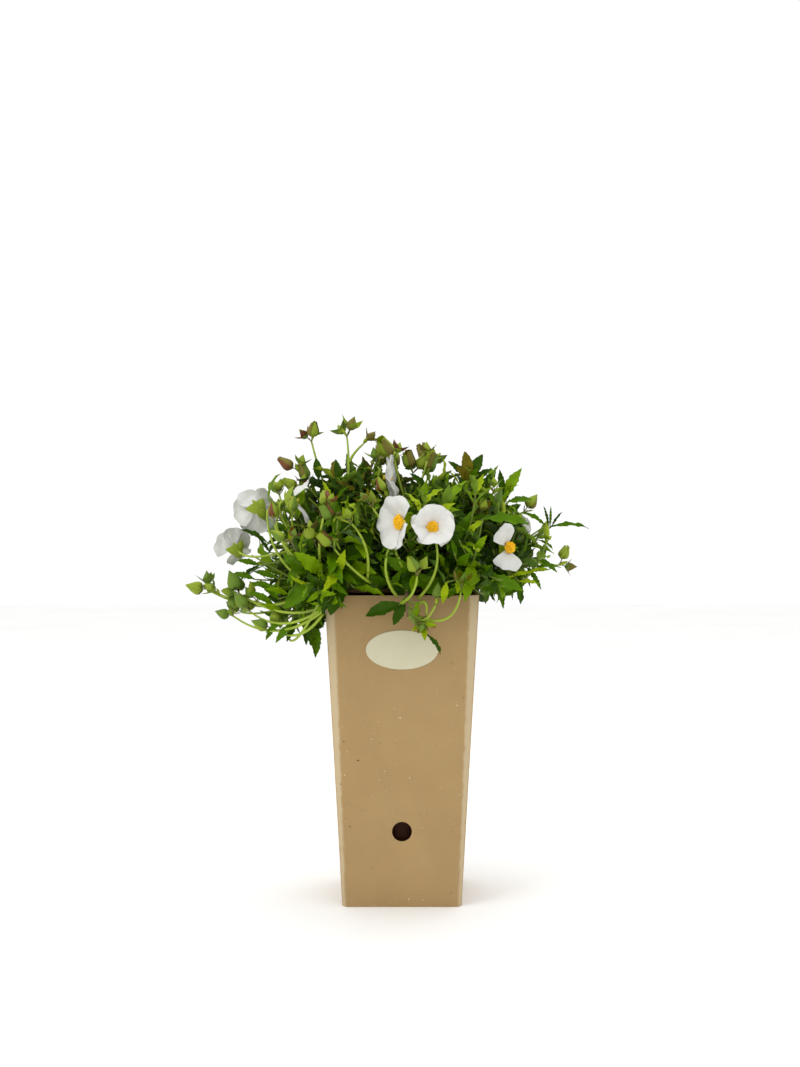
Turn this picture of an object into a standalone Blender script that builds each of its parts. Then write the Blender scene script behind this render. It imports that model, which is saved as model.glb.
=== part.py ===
"""Potted rockrose: a low, white-flowered garden shrub in a tall square pot that stands in a card sleeve.

Metres, +Z up. The origin lies under the middle of the pot, on the surface that it stands on. The front is -Y.
"""

import math
import random

import bmesh
import bpy
from mathutils import Matrix, Vector

MM = 0.001
UP = Vector((0, 0, 1))
GAP = 0.3 * MM
SLACK = 0.1 * MM
WELD = 0.01 * MM
ROUND_EDGE = math.radians(50)

# Card sleeve round the pot: widths over the outside at its foot and at its rim
SLEEVE_HEIGHT = 240 * MM
SLEEVE_FOOT = 92 * MM
SLEEVE_RIM = 118.5 * MM
CARD = 1.6 * MM
FOLD_FOOT = 3 * MM
FOLD_RIM = 8 * MM
HOLE_RADIUS = 7.6 * MM
HOLE_HEIGHT = 58.5 * MM

# Oval label on the front of the sleeve
LABEL_WIDTH = 55 * MM
LABEL_HEIGHT = 30 * MM
LABEL_MIDDLE = 198.5 * MM
LABEL_THICK = 0.3 * MM

# Ribbed plastic pot inside the sleeve, and the compost in it
POT_HEIGHT = 237 * MM
POT_FOOT = 76 * MM
POT_WALL = 1.4 * MM
LIP_HEIGHT = 9 * MM
LIP_STEP = 2.4 * MM
POT_CORNER_FOOT = 8 * MM
POT_CORNER_RIM = 11 * MM
RIBS_A_SIDE = 4
RIB_SPACING = 10 * MM
RIB_WIDTH = 1.8 * MM
RIB_PROUD = 1.0 * MM
RIB_ENDS = (12 * MM, 216 * MM)
SOIL_TOP = 226 * MM
SOIL_MOUND = 2.4 * MM
SOIL_MOUND_HALF = 26 * MM

# Short woody stem on the compost, and where its boughs leave it
STEM_FOOT = SOIL_TOP + SOIL_MOUND + GAP
STEM_TOP = 263 * MM
STEM_STEPS = 8
STEM_RADII = (6.4 * MM, 4.8 * MM, 4.2 * MM, 3.9 * MM, 3.4 * MM)
STEM_LEAN = Vector((2.0 * MM, -1.5 * MM, 0))
BOUGH_RADII = (1.7 * MM, 1.15 * MM)
MASS_STEM_RADII = (1.4 * MM, 1.3 * MM)
BOUGH_STEPS = 7
BOUGH_LEVEL = 250 * MM
BOUGH_LOWEST = 243.5 * MM
BOUGH_HIGHEST = 260 * MM
BOUGH_NECK = 1.5 * MM
BOUGH_BEND = 0.6
BOUGH_BEND_RISE = 0.25
BOUGH_ENTRY = 4 * MM
FLATTEST_BOUGH = math.radians(-18)
STEEPEST_SIDE_BOUGH = math.radians(68)
HANGING_ARCH = 24 * MM
HANGING_RISE = 12 * MM

# The hearts of the masses of foliage, in millimetres. A mass keeps to the space that is nearest to its heart
HEARTS = {
    "left_low": (-86, -8, 230),
    "left_middle": (-86, -24, 284),
    "left_top": (-54, -4, 310),
    "crown": (6, -4, 314),
    "front": (6, -76, 284),
    "front_low": (4, -90, 226),
    "front_left": (-62, -70, 258),
    "front_right": (62, -70, 256),
    "right_top": (64, 4, 304),
    "right_middle": (88, -24, 278),
    "right_low": (84, -12, 238),
    "back_left": (-75, 70, 262),
    "back": (0, 92, 256),
    "back_right": (78, 72, 262),
    "back_top": (8, 54, 300),
}
SPACE_MARGIN = 0.5 * MM
ELBOW_ROOM = 2.0 * MM
POT_CLEARANCE = 1.0 * MM
LIMB_CLEARANCE = 0.5 * MM
TEST_STEP = 2.4 * MM

# The outline of the leafy crown, and how far down leaves hang: lower where a mass hangs over the rim
DOME_HEART = Vector((0, 0, 262 * MM))
DOME = Vector((122 * MM, 118 * MM, 84 * MM))
DOME_DROOP = 78 * MM
CROWN_FLOOR = 226 * MM
FLOORS = {"left_low": 190 * MM, "front_low": 221 * MM, "back_left": 206 * MM, "back": 214 * MM}

# Twigs and leaves. There are fewer leaves than on the plant, each a little larger than life
FIRST_SEED = 901
TWIGS_A_MASS = 6
LEAVES_A_MASS = 23
TWIG_LENGTH = 52 * MM
TWIG_STEPS = 3
TWIG_RADII = (1.3 * MM, 1.0 * MM)
TWIG_OPEN_FOOT = math.radians(80)
TWIG_OPEN_TIP = math.radians(28)
TWIG_TURNS = (0, 0.7, 1.4)
RING_SPREAD = 0.3
STEM_LEAVES_FROM = 0.4
LIFT = 0.12
DROOP = -0.16
INTERNODE = 10 * MM
FIRST_LEAF = 6 * MM
GOLDEN = math.radians(137.5)
LEAF_LENGTH = 38 * MM
TIP_LEAF = 28 * MM
LEAF_WIDTH = 0.40
LEAF_WIDEST = 0.46
LEAF_RISE = 0.15
LEAF_THICK = 0.8 * MM
LEAF_OFF_AXIS = 0.15 * MM
LEAF_ANGLE = math.radians(52)
LEAF_SPREAD = 0.25
TIP_ANGLE = math.radians(24)
LEAF_FACE_UP = 0.3
LEAF_TURNS = (0, 0.6, 1.2)
LEAF_TRIES = (1.0, 0.8, 0.65)

# Flower stalks, buds and flowers
STALK_RADII = (1.25 * MM, 1.0 * MM)
STALK_STEPS = 3
STALK_SAG = 0.22
STALK_FEET = 12
TIP_SINK = 1.0 * MM
PEDICEL = 7 * MM
PEDICEL_RADIUS = 0.8 * MM
BUD_RISE = 0.4
BUD_SPREAD = 0.75
LONE_BUD_SPREAD = 0.2
BUD_LENGTH = 10.5 * MM
BUD_BELLY = 3.8 * MM
BUD_RADIUS = 3.6 * MM
PETAL_LENGTH = 20 * MM
NOTCH_REACH = 13 * MM
SHED_REACH = 9.5 * MM
PETAL_THICK = 0.9 * MM
BOSS_RADIUS = 5.4 * MM
BOSS_HEIGHT = 5.5 * MM
CALYX_RADII = (1.6 * MM, 5.0 * MM)
CALYX_LENGTH = 7.0 * MM
BLOOM_NECK = 0.35
BLOOM_SAG = 0.1
BEHIND_PETALS = -2.5 * MM
BEFORE_PETALS = 8 * MM
PETAL_CLEARANCE = 1.5 * MM

# Flowers: the heart in millimetres, the way it faces, its cup in degrees, and a 1 for each petal that is left
BLOOMS = (
    ((-6, -88, 295), (-0.78, -0.62, 0.02), 29, "11111"),
    ((23, -88, 293), (0.12, -0.97, 0.20), 38, "11111"),
    ((82, -44, 276), (0.20, -0.95, 0.05), 14, "10110"),
    ((-78, -14, 309), (0.85, 0.10, 0.35), 34, "11111"),
    ((-14, -14, 331), (0.90, 0.30, 0.10), 24, "11111"),
    ((-111, -16, 306), (-0.55, 0.80, -0.20), 18, "11111"),
    ((-130, -20, 275), (-0.50, 0.75, 0.30), 22, "11011"),
    ((-8, 112, 292), (-0.20, 0.90, 0.35), 24, "11111"),
    ((94, 86, 288), (0.60, 0.70, 0.30), 20, "11111"),
)

# Heads of buds: where their stalk parts, in millimetres, and how many buds it carries
BUD_HEADS = (
    ((-72, -5, 360), 3),
    ((-86, -8, 333), 2),
    ((-44, 0, 366), 2),
    ((-31, -8, 358), 1),
    ((-6, -10, 346), 3),
    ((20, -5, 345), 2),
    ((97, -4, 304), 1),
    ((124, -14, 266), 2),
    ((-155, -12, 236), 2),
    ((-142, -20, 234), 1),
    ((-127, -6, 224), 2),
    ((-97, -12, 317), 2),
    ((-36, -78, 288), 2),
    ((44, -80, 246), 2),
    ((19, -76, 219), 2),
    ((-112, 66, 296), 2),
    ((24, 104, 292), 3),
    ((-14, 66, 350), 2),
    ((24, 58, 344), 3),
)

# Leaves that reach out of the crown on their own: foot and tip, in millimetres
LONG_LEAVES = (
    ((114, -26, 288), (152, -24, 292)),
    ((112, -22, 290), (117, -22, 309)),
    ((-4, -74, 236), (-29, -72, 228)),
    ((22, -72, 216), (34, -68, 198)),
    ((88, 2, 320), (97, 0, 344)),
    ((-72, -16, 226), (-70, -18, 191)),
)

COLOURS = {
    "card": ((0.45, 0.30, 0.14), 0.85),
    "label": ((0.72, 0.69, 0.47), 0.6),
    "plastic": ((0.045, 0.022, 0.012), 0.5),
    "soil": ((0.03, 0.02, 0.012), 1.0),
    "bark": ((0.16, 0.10, 0.05), 0.9),
    "foliage": ((0.10, 0.22, 0.015), 0.6),
}


def clear_scene():
    for obj in list(bpy.data.objects):
        bpy.data.objects.remove(obj)


def collection(name):
    made = bpy.data.collections.new(name)
    bpy.context.scene.collection.children.link(made)
    return made


def material(name):
    found = bpy.data.materials.get(name)
    if found:
        return found
    made = bpy.data.materials.new(name)
    made.use_nodes = True
    colour, roughness = COLOURS[name]
    shader = made.node_tree.nodes["Principled BSDF"]
    shader.inputs["Base Color"].default_value = (*colour, 1)
    shader.inputs["Roughness"].default_value = roughness
    shader.inputs["Metallic"].default_value = 0
    return made


def mesh_object(name, bm, home, slot):
    mesh = bpy.data.meshes.new(name)
    bm.to_mesh(mesh)
    bm.free()
    made = bpy.data.objects.new(name, mesh)
    made.data.materials.append(material(slot))
    home.objects.link(made)
    return made


def modifier(obj, kind, **settings):
    made = obj.modifiers.new(kind.title(), kind)
    for key, value in settings.items():
        setattr(made, key, value)
    return made


def evaluated_mesh(obj):
    graph = bpy.context.evaluated_depsgraph_get()
    return bpy.data.meshes.new_from_object(obj.evaluated_get(graph))


def helper(obj):
    obj.hide_render = True
    obj.display_type = "WIRE"


# Pot and sleeve


def cut_square(half, corner, height):
    """The eight corners of a square whose corners are cut back, seen from above and running anticlockwise."""
    near = half - corner
    quarter = ((half, -near), (half, near))
    turns = [Matrix.Rotation(side * math.pi / 2, 3, "Z") for side in range(4)]
    return [turn @ Vector((x, y, height)) for turn in turns for x, y in quarter]


def loft(rings, floor=False, lid=False):
    """Walls between rings of equal count, lowest first, facing out."""
    bm = bmesh.new()
    rows = [[bm.verts.new(point) for point in ring] for ring in rings]
    count = len(rows[0])
    for low, high in zip(rows, rows[1:]):
        for i in range(count):
            j = (i + 1) % count
            bm.faces.new((low[i], low[j], high[j], high[i]))
    if floor:
        bm.faces.new(reversed(rows[0]))
    if lid:
        bm.faces.new(rows[-1])
    return bm


def between(low, high, height, whole):
    return low + (high - low) * height / whole


def sleeve_half(height):
    return between(SLEEVE_FOOT, SLEEVE_RIM, height, SLEEVE_HEIGHT) / 2


def pot_half(height):
    """Half the pot's outer width under its lip. The lip then stands 0.3 mm inside the sleeve."""
    under_lip = sleeve_half(POT_HEIGHT) - CARD - GAP - LIP_STEP - SLACK
    return between(POT_FOOT / 2, under_lip, height, POT_HEIGHT)


def pot_corner(height):
    return between(POT_CORNER_FOOT, POT_CORNER_RIM, height, POT_HEIGHT)


def lean_of(low, high, height):
    return math.atan2(high - low, height)


def make_sleeve(home, cutters):
    rings = (
        cut_square(SLEEVE_FOOT / 2, FOLD_FOOT, 0),
        cut_square(SLEEVE_RIM / 2, FOLD_RIM, SLEEVE_HEIGHT),
    )
    sleeve = mesh_object("sleeve", loft(rings), home, "card")
    modifier(sleeve, "SOLIDIFY", thickness=CARD, offset=-1, use_even_offset=True)
    bm = bmesh.new()
    bmesh.ops.create_cone(
        bm, cap_ends=True, segments=24, radius1=HOLE_RADIUS, radius2=HOLE_RADIUS, depth=6 * CARD
    )
    cutter = mesh_object("hole_cutter", bm, cutters, "card")
    cutter.rotation_euler = (math.pi / 2, 0, 0)
    cutter.location = (0, -sleeve_half(HOLE_HEIGHT), HOLE_HEIGHT)
    helper(cutter)
    modifier(sleeve, "BOOLEAN", operation="DIFFERENCE", object=cutter, solver="EXACT")


def make_label(home):
    bpy.ops.curve.primitive_bezier_circle_add(radius=0.5)
    label = bpy.context.object
    label.name = "label"
    for owner in list(label.users_collection):
        owner.objects.unlink(label)
    home.objects.link(label)
    outline = label.data
    outline.transform(Matrix.Diagonal((LABEL_WIDTH, LABEL_HEIGHT, 1, 1)))
    outline.dimensions = "2D"
    outline.fill_mode = "BOTH"
    outline.resolution_u = 6
    outline.extrude = LABEL_THICK / 2
    outline.materials.append(material("label"))
    lean = lean_of(SLEEVE_FOOT / 2, SLEEVE_RIM / 2, SLEEVE_HEIGHT)
    off_card = (GAP + LABEL_THICK / 2) / math.cos(lean)
    label.rotation_euler = (math.pi / 2 + lean, 0, 0)
    label.location = (0, -sleeve_half(LABEL_MIDDLE) - off_card, LABEL_MIDDLE)


def make_pot(home):
    lip_foot = POT_HEIGHT - LIP_HEIGHT
    lip_corner = pot_corner(lip_foot)
    rings = (
        cut_square(pot_half(0), pot_corner(0), 0),
        cut_square(pot_half(lip_foot), lip_corner, lip_foot),
        cut_square(pot_half(lip_foot) + LIP_STEP, lip_corner, lip_foot + LIP_STEP),
        cut_square(pot_half(POT_HEIGHT) + LIP_STEP, lip_corner, POT_HEIGHT),
    )
    pot = mesh_object("inner_pot", loft(rings, floor=True), home, "plastic")
    modifier(pot, "SOLIDIFY", thickness=POT_WALL, offset=-1, use_even_offset=True)
    ribs = collection("pot_ribs")
    lean = lean_of(pot_half(0), pot_half(POT_HEIGHT), POT_HEIGHT)
    middle = sum(RIB_ENDS) / 2
    size = Vector((RIB_WIDTH, 2 * RIB_PROUD, RIB_ENDS[1] - RIB_ENDS[0]))
    for side in range(4):
        for rib in range(RIBS_A_SIDE):
            bm = bmesh.new()
            bmesh.ops.create_cube(bm, size=1, matrix=Matrix.Diagonal((*size, 1)))
            along = (rib - (RIBS_A_SIDE - 1) / 2) * RIB_SPACING
            place = (
                Matrix.Rotation(side * math.pi / 2, 4, "Z")
                @ Matrix.Translation((along, -pot_half(middle), middle))
                @ Matrix.Rotation(lean, 4, "X")
            )
            bmesh.ops.transform(bm, matrix=place, verts=bm.verts)
            mesh_object(f"rib_{side}_{rib}", bm, ribs, "plastic")
    fuse(pot, ribs)


def make_soil(home):
    foot = POT_WALL + GAP
    inner = POT_WALL + GAP + SLACK
    rings = (
        cut_square(pot_half(foot) - inner, pot_corner(foot), foot),
        cut_square(pot_half(SOIL_TOP) - inner, pot_corner(SOIL_TOP), SOIL_TOP),
        cut_square(SOIL_MOUND_HALF, pot_corner(SOIL_TOP), SOIL_TOP + SOIL_MOUND),
    )
    mesh_object("soil", loft(rings, floor=True, lid=True), home, "soil")


# Limbs: each is a curve with a thickness at every point


def limb(name, points, radii, home, slot, resolution=1):
    """A tapering limb through points: a curve with filled ends. Radii run evenly along it."""
    curve = bpy.data.curves.new(name, "CURVE")
    curve.dimensions = "3D"
    curve.bevel_depth = 1
    curve.bevel_resolution = resolution
    curve.use_fill_caps = True
    spline = curve.splines.new("POLY")
    spline.use_smooth = True
    spline.points.add(len(points) - 1)
    for i, (target, point) in enumerate(zip(spline.points, points)):
        place = i / (len(points) - 1) * (len(radii) - 1)
        low = min(int(place), len(radii) - 2)
        target.co = (*point, 1)
        target.radius = radii[low] + (radii[low + 1] - radii[low]) * (place - low)
    curve.materials.append(material(slot))
    made = bpy.data.objects.new(name, curve)
    home.objects.link(made)
    return made


def twig_section(home):
    """The three-sided cross-section of the twigs, one unit in radius."""
    curve = bpy.data.curves.new("twig_section", "CURVE")
    spline = curve.splines.new("POLY")
    spline.points.add(2)
    spline.use_cyclic_u = True
    for i, target in enumerate(spline.points):
        target.co = (math.cos(i * math.tau / 3), math.sin(i * math.tau / 3), 0, 1)
    made = bpy.data.objects.new("twig_section", curve)
    home.objects.link(made)
    helper(made)
    return made


def as_mesh(curve_object):
    """The mesh of a curve object, with its end caps welded on, in its place."""
    mesh = evaluated_mesh(curve_object)
    bm = bmesh.new()
    bm.from_mesh(mesh)
    bmesh.ops.remove_doubles(bm, verts=bm.verts, dist=WELD)
    bmesh.ops.recalc_face_normals(bm, faces=bm.faces)
    bm.to_mesh(mesh)
    bm.free()
    made = bpy.data.objects.new(curve_object.name, mesh)
    made.matrix_world = curve_object.matrix_world
    for home in curve_object.users_collection:
        home.objects.link(made)
    bpy.data.objects.remove(curve_object)
    return made


def arc(start, lean, end, steps):
    """Points of the smooth arc that leaves start towards lean and comes to end."""
    ways = (i / steps for i in range(steps + 1))
    return [start.lerp(lean, t).lerp(lean.lerp(end, t), t) for t in ways]


def stem_axis(height):
    share = (height - STEM_FOOT) / (STEM_TOP - STEM_FOOT)
    return Vector((0, 0, height)) + STEM_LEAN * share * share


def stem_radius(height):
    place = (height - STEM_FOOT) / (STEM_TOP - STEM_FOOT) * (len(STEM_RADII) - 1)
    low = max(0, min(int(place), len(STEM_RADII) - 2))
    return STEM_RADII[low] + (STEM_RADII[low + 1] - STEM_RADII[low]) * (place - low)


def bough_line(heart):
    """The line from the stem to a heart, which a bough follows first and then the stem of its mass."""
    flat = Vector((heart.x, heart.y, 0))
    slope = math.atan2(heart.z - BOUGH_LEVEL, flat.length)
    if slope > STEEPEST_SIDE_BOUGH:
        start = stem_axis(STEM_TOP) + UP * GAP
        return arc(start, start.lerp(heart, 0.5) + UP * BOUGH_NECK, heart, BOUGH_STEPS)
    share = (slope - FLATTEST_BOUGH) / (STEEPEST_SIDE_BOUGH - FLATTEST_BOUGH)
    height = between(BOUGH_LOWEST, BOUGH_HIGHEST, share, 1)
    out = flat.normalized()
    start = stem_axis(height) + out * (stem_radius(height) + GAP)
    neck = start + out * BOUGH_NECK
    rise = heart.z - neck.z
    arch = HANGING_ARCH if rise < HANGING_RISE else 0
    lean = neck + out * BOUGH_BEND * flat.length + UP * (BOUGH_BEND_RISE * rise + arch)
    return [start] + arc(neck, lean, heart, BOUGH_STEPS)


# Spaces: which points a mass may use


def owner(point):
    """The mass whose heart lies nearest to a point."""
    return min(HEARTS, key=lambda name: (Vector(HEARTS[name]) * MM - point).length)


def own_space(name):
    """The flat sides of a mass's space: a point on each, and the way through it into the neighbour's."""
    mine = Vector(HEARTS[name]) * MM
    ways = [Vector(place) * MM - mine for other, place in HEARTS.items() if other != name]
    return [(mine + way / 2, way.normalized()) for way in ways]


def inside(sides, point, spare=0.0):
    return all((point - middle).dot(way) < -SPACE_MARGIN - spare for middle, way in sides)


def in_dome(point):
    """Whether a point lies in the rounded outline that the leafy twigs fill."""
    out = point - DOME_HEART
    high = DOME.z if out.z > 0 else DOME_DROOP
    return (out.x / DOME.x) ** 2 + (out.y / DOME.y) ** 2 + (out.z / high) ** 2 < 1


def off_pot(point, spare):
    """Above the rim, or outside the sleeve."""
    if point.z > SLEEVE_HEIGHT + spare:
        return True
    return max(abs(point.x), abs(point.y)) > sleeve_half(point.z) + spare


def distance_to_line(point, line):
    best = 1.0
    for a, b in zip(line, line[1:]):
        way = b - a
        share = max(0.0, min(1.0, (point - a).dot(way) / way.length_squared))
        best = min(best, (a + way * share - point).length)
    return best


def off_limbs(point, limbs, spare):
    return all(distance_to_line(point, line) > thick + spare for line, thick in limbs)


def off_blooms(point):
    """Clear of the petals of every flower, and of the space in front of them."""
    for place, way, *_ in BLOOMS:
        out = point - Vector(place) * MM
        ahead = out.dot(Vector(way).normalized())
        aside = math.sqrt(max(0.0, out.length_squared - ahead * ahead))
        if BEHIND_PETALS < ahead < BEFORE_PETALS and aside < PETAL_LENGTH + PETAL_CLEARANCE:
            return False
    return True


def steps_between(a, b):
    count = max(2, math.ceil((b - a).length / TEST_STEP))
    return [a.lerp(b, i / count) for i in range(count + 1)]


def along_line(points, place):
    """The point and the way of a line at a length along it."""
    for a, b in zip(points, points[1:]):
        step = (b - a).length
        if place <= step or b is points[-1]:
            return a.lerp(b, min(1.0, place / step)), (b - a).normalized()
        place -= step


def line_length(points):
    return sum((b - a).length for a, b in zip(points, points[1:]))


def turned(way, axis, angle):
    return Matrix.Rotation(angle, 3, axis) @ way


def blade_frame(way, face):
    """A turn whose x runs along way and whose z faces as nearly as it can to face."""
    x = way.normalized()
    y = face.cross(x)
    if y.length < 1e-6:
        y = x.orthogonal()
    y.normalize()
    return Matrix((x, y, x.cross(y))).transposed().to_4x4()


# Growth: the seeded rule by which each mass branches


class Mass:
    """One mass of foliage: its stem, and the twigs, leaves, buds and flowers that branch from it."""

    def __init__(self, name, seed, line, limbs, taken):
        self.name = name
        self.draw = random.Random(seed)
        self.heart = Vector(HEARTS[name]) * MM
        self.sides = own_space(name)
        self.floor = FLOORS.get(name, CROWN_FLOOR)
        self.lift = DROOP if name in FLOORS else LIFT
        self.limbs = limbs
        way = (line[1] - line[0]).normalized()
        self.line = [line[0] + way * GAP] + line[1:]
        self.twigs = []
        self.leaves = []
        self.buds = []
        self.blooms = []
        whole = line_length(self.line)
        self.feet = [along_line(self.line, whole * i / STALK_FEET)[0] for i in range(3, STALK_FEET)]
        self.taken = taken
        self.take(point for a, b in zip(self.line, self.line[1:]) for point in steps_between(a, b))

    def take(self, points):
        """Notes points that a leaf or twig fills, by the small cube that each lies in."""
        for point in points:
            cube = tuple(int(round(axis / ELBOW_ROOM)) for axis in point)
            self.taken.setdefault(cube, []).append(point)

    def crowded(self, point):
        cube = [int(round(axis / ELBOW_ROOM)) for axis in point]
        near = (-1, 0, 1)
        return any(
            (other - point).length < ELBOW_ROOM
            for x in near
            for y in near
            for z in near
            for other in self.taken.get((cube[0] + x, cube[1] + y, cube[2] + z), ())
        )

    def open_at(self, point, thick, in_crown=True):
        """Whether a twig or leaf may pass a point. The leaves of the crown also keep to its outline."""
        return (
            (not in_crown or (point.z > self.floor and in_dome(point)))
            and inside(self.sides, point, thick)
            and off_pot(point, thick + POT_CLEARANCE)
            and off_limbs(point, self.limbs, thick + LIMB_CLEARANCE)
            and off_blooms(point)
            and not self.crowded(point)
        )

    def leaf_points(self, foot, way, face, length):
        """Points spread over a leaf, but for the part by its foot."""
        tip = foot + way * length
        turn = blade_frame(way, face).to_3x3()
        across = turn @ Vector((0, LEAF_WIDTH * length / 2, 0))
        middle = foot.lerp(tip, LEAF_WIDEST) + turn @ Vector((0, 0, LEAF_RISE * length))
        spread = steps_between(middle - across, middle + across)
        outer = [point.lerp(tip, share) for share in (0.2, 0.4, 0.6, 0.8) for point in spread]
        inner = [point.lerp(foot, share) for share in (0.25, 0.5) for point in spread]
        return inner + spread + outer + [tip]

    def leaf(self, foot, way, face, length, in_crown=True):
        """A leaf where it fits: as drawn, or smaller, or turned back towards the heart of the mass."""
        if len(self.leaves) == LEAVES_A_MASS:
            return
        back = (self.heart - foot).normalized()
        for turn_back in LEAF_TURNS:
            aim = (way + back * turn_back).normalized()
            for share in LEAF_TRIES:
                points = self.leaf_points(foot, aim, face, length * share)
                if all(self.open_at(point, LEAF_THICK, in_crown) for point in points):
                    self.leaves.append((foot, aim, face, length * share))
                    self.take(points)
                    return

    def leaf_pair(self, foot, along, side, spread, size):
        for way in (side, -side):
            lean = spread + self.draw.uniform(-LEAF_SPREAD, LEAF_SPREAD)
            out = along * math.cos(lean) + way * math.sin(lean)
            face = along * math.sin(lean) - way * math.cos(lean) + UP * LEAF_FACE_UP
            self.leaf(foot + way * LEAF_OFF_AXIS, out, face, size * self.draw.uniform(0.8, 1.1))

    def leaves_along(self, points, first):
        """Leaves in opposite pairs, each pair turned a quarter from the last, and a tuft at the tip."""
        whole = line_length(points)
        place = first
        tip, along = along_line(points, whole)
        side = turned(along.orthogonal().normalized(), along, self.draw.uniform(0, math.tau))
        while place < whole - 0.5 * INTERNODE:
            foot, along = along_line(points, place)
            side = (side - along * side.dot(along)).normalized()
            side = turned(side, along, math.pi / 2)
            self.leaf_pair(foot, along, side, LEAF_ANGLE, LEAF_LENGTH)
            place += INTERNODE
        self.leaf_pair(tip - along * TIP_SINK, along, turned(side, along, math.pi / 2), TIP_ANGLE, TIP_LEAF)

    def twig(self, start, way, length):
        """A leafy twig that bends as it grows, turns back at the edge of its space, or stops there."""
        step = length / TWIG_STEPS
        points = [start]
        for _ in range(TWIG_STEPS):
            back = (self.heart - points[-1]).normalized()
            for turn_back in TWIG_TURNS:
                aim = (way + UP * self.lift + back * turn_back).normalized()
                reach = points[-1] + aim * step
                tests = steps_between(points[-1], reach)[2:]
                if all(self.open_at(point, TWIG_RADII[0]) for point in tests):
                    break
            else:
                break
            points.append(reach)
            way = aim
        if len(points) > 2:
            self.add_twig(points, TWIG_RADII)
            self.leaves_along(points, FIRST_LEAF)

    def add_twig(self, points, radii):
        self.twigs.append((points, radii))
        self.take(point for a, b in zip(points, points[1:]) for point in steps_between(a, b)[1:])

    def take_foot(self, head):
        """The free place on the outer part of the stem nearest to head, where its stalk grows."""
        foot = min(self.feet, key=lambda point: (point - head).length)
        self.feet.remove(foot)
        return foot

    def bud_head(self, head, count):
        """A bare stalk that sags where it reaches out sideways, and parts into buds on short stalks."""
        foot = self.take_foot(head)
        lean = foot.lerp(head, 0.5) - UP * STALK_SAG * (head - foot).length
        self.add_twig(arc(foot, lean, head, STALK_STEPS), STALK_RADII)
        way = ((head - lean).normalized() + UP * BUD_RISE).normalized()
        side = turned(way.orthogonal().normalized(), way, self.draw.uniform(0, math.tau))
        spread = BUD_SPREAD if count > 1 else LONE_BUD_SPREAD
        for bud in range(count):
            aim = (way + turned(side, way, bud * math.tau / count) * spread).normalized()
            self.buds.append((head, aim))
            belly = head + aim * (PEDICEL + BUD_BELLY)
            across = aim.orthogonal().normalized() * BUD_RADIUS
            self.take(steps_between(head, belly + aim * (BUD_LENGTH - BUD_BELLY)))
            self.take(belly + turned(across, aim, turn * math.tau / 5) for turn in range(5))

    def bloom(self, heart, way, cup, petals):
        back = heart - way * (CALYX_LENGTH - TIP_SINK)
        foot = self.take_foot(back)
        reach = (back - foot).length
        lean = back - way * BLOOM_NECK * reach - UP * BLOOM_SAG * reach
        self.add_twig(arc(foot, lean, back, STALK_STEPS), STALK_RADII)
        self.blooms.append((heart, way, cup, petals))

    def long_leaf(self, foot, tip):
        start = self.take_foot(foot)
        bend = start.lerp(foot, 0.5) - UP * TIP_SINK
        self.add_twig([start, bend, foot], TWIG_RADII)
        way = (tip - foot).normalized()
        self.leaf(foot - way * TIP_SINK, way, UP, (tip - foot).length, in_crown=False)

    def flower(self):
        """The heads of buds, the flowers and the long leaves that belong to this mass."""
        for place, count in BUD_HEADS:
            head = Vector(place) * MM
            if owner(head) == self.name:
                self.bud_head(head, count)
        for place, way, cup, petals in BLOOMS:
            heart = Vector(place) * MM
            if owner(heart) == self.name:
                self.bloom(heart, Vector(way).normalized(), math.radians(cup), petals)
        for ends in LONG_LEAVES:
            foot, tip = (Vector(end) * MM for end in ends)
            if owner(foot) == self.name:
                self.long_leaf(foot, tip)

    def branch(self):
        """Leafy twigs all round the stem, opening less towards its tip, and leaves along its outer part."""
        out = (self.line[-1] - self.line[0]).normalized()
        for i in range(TWIGS_A_MASS):
            share = (i + 1) / TWIGS_A_MASS
            start = self.line[max(1, round(share * (len(self.line) - 1)))]
            turn = i * GOLDEN + self.draw.uniform(-RING_SPREAD, RING_SPREAD)
            ring = turned(out.orthogonal().normalized(), out, turn)
            open_by = TWIG_OPEN_FOOT + (TWIG_OPEN_TIP - TWIG_OPEN_FOOT) * share
            way = out * math.cos(open_by) + ring * math.sin(open_by)
            self.twig(start, way, TWIG_LENGTH * self.draw.uniform(0.8, 1.15))
        self.leaves_along(self.line, STEM_LEAVES_FROM * line_length(self.line))


# The solids of a mass


def leaf_solid(name, foot, way, face, length, home):
    """A leaf of eight faces: an octahedron drawn to a blade with raised edges and a foot of two points."""
    widest = LEAF_WIDEST * length
    half = LEAF_THICK / 2
    places = {
        (1, 0, 0): (length, 0, 0),
        (-1, 0, 0): (0, 0, half),
        (0, 0, -1): (0, 0, -half),
        (0, 0, 1): (widest, 0, half),
        (0, 1, 0): (widest, LEAF_WIDTH * length / 2, LEAF_RISE * length),
        (0, -1, 0): (widest, -LEAF_WIDTH * length / 2, LEAF_RISE * length),
    }
    bm = bmesh.new()
    bmesh.ops.create_uvsphere(bm, u_segments=4, v_segments=2, radius=1)
    for vert in bm.verts:
        vert.co = places[tuple(round(axis) for axis in vert.co)]
    bmesh.ops.transform(bm, matrix=Matrix.Translation(foot) @ blade_frame(way, face), verts=bm.verts)
    mesh_object(name, bm, home, "foliage")


def facing(way):
    return way.to_track_quat("Z", "Y").to_matrix().to_4x4()


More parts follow.
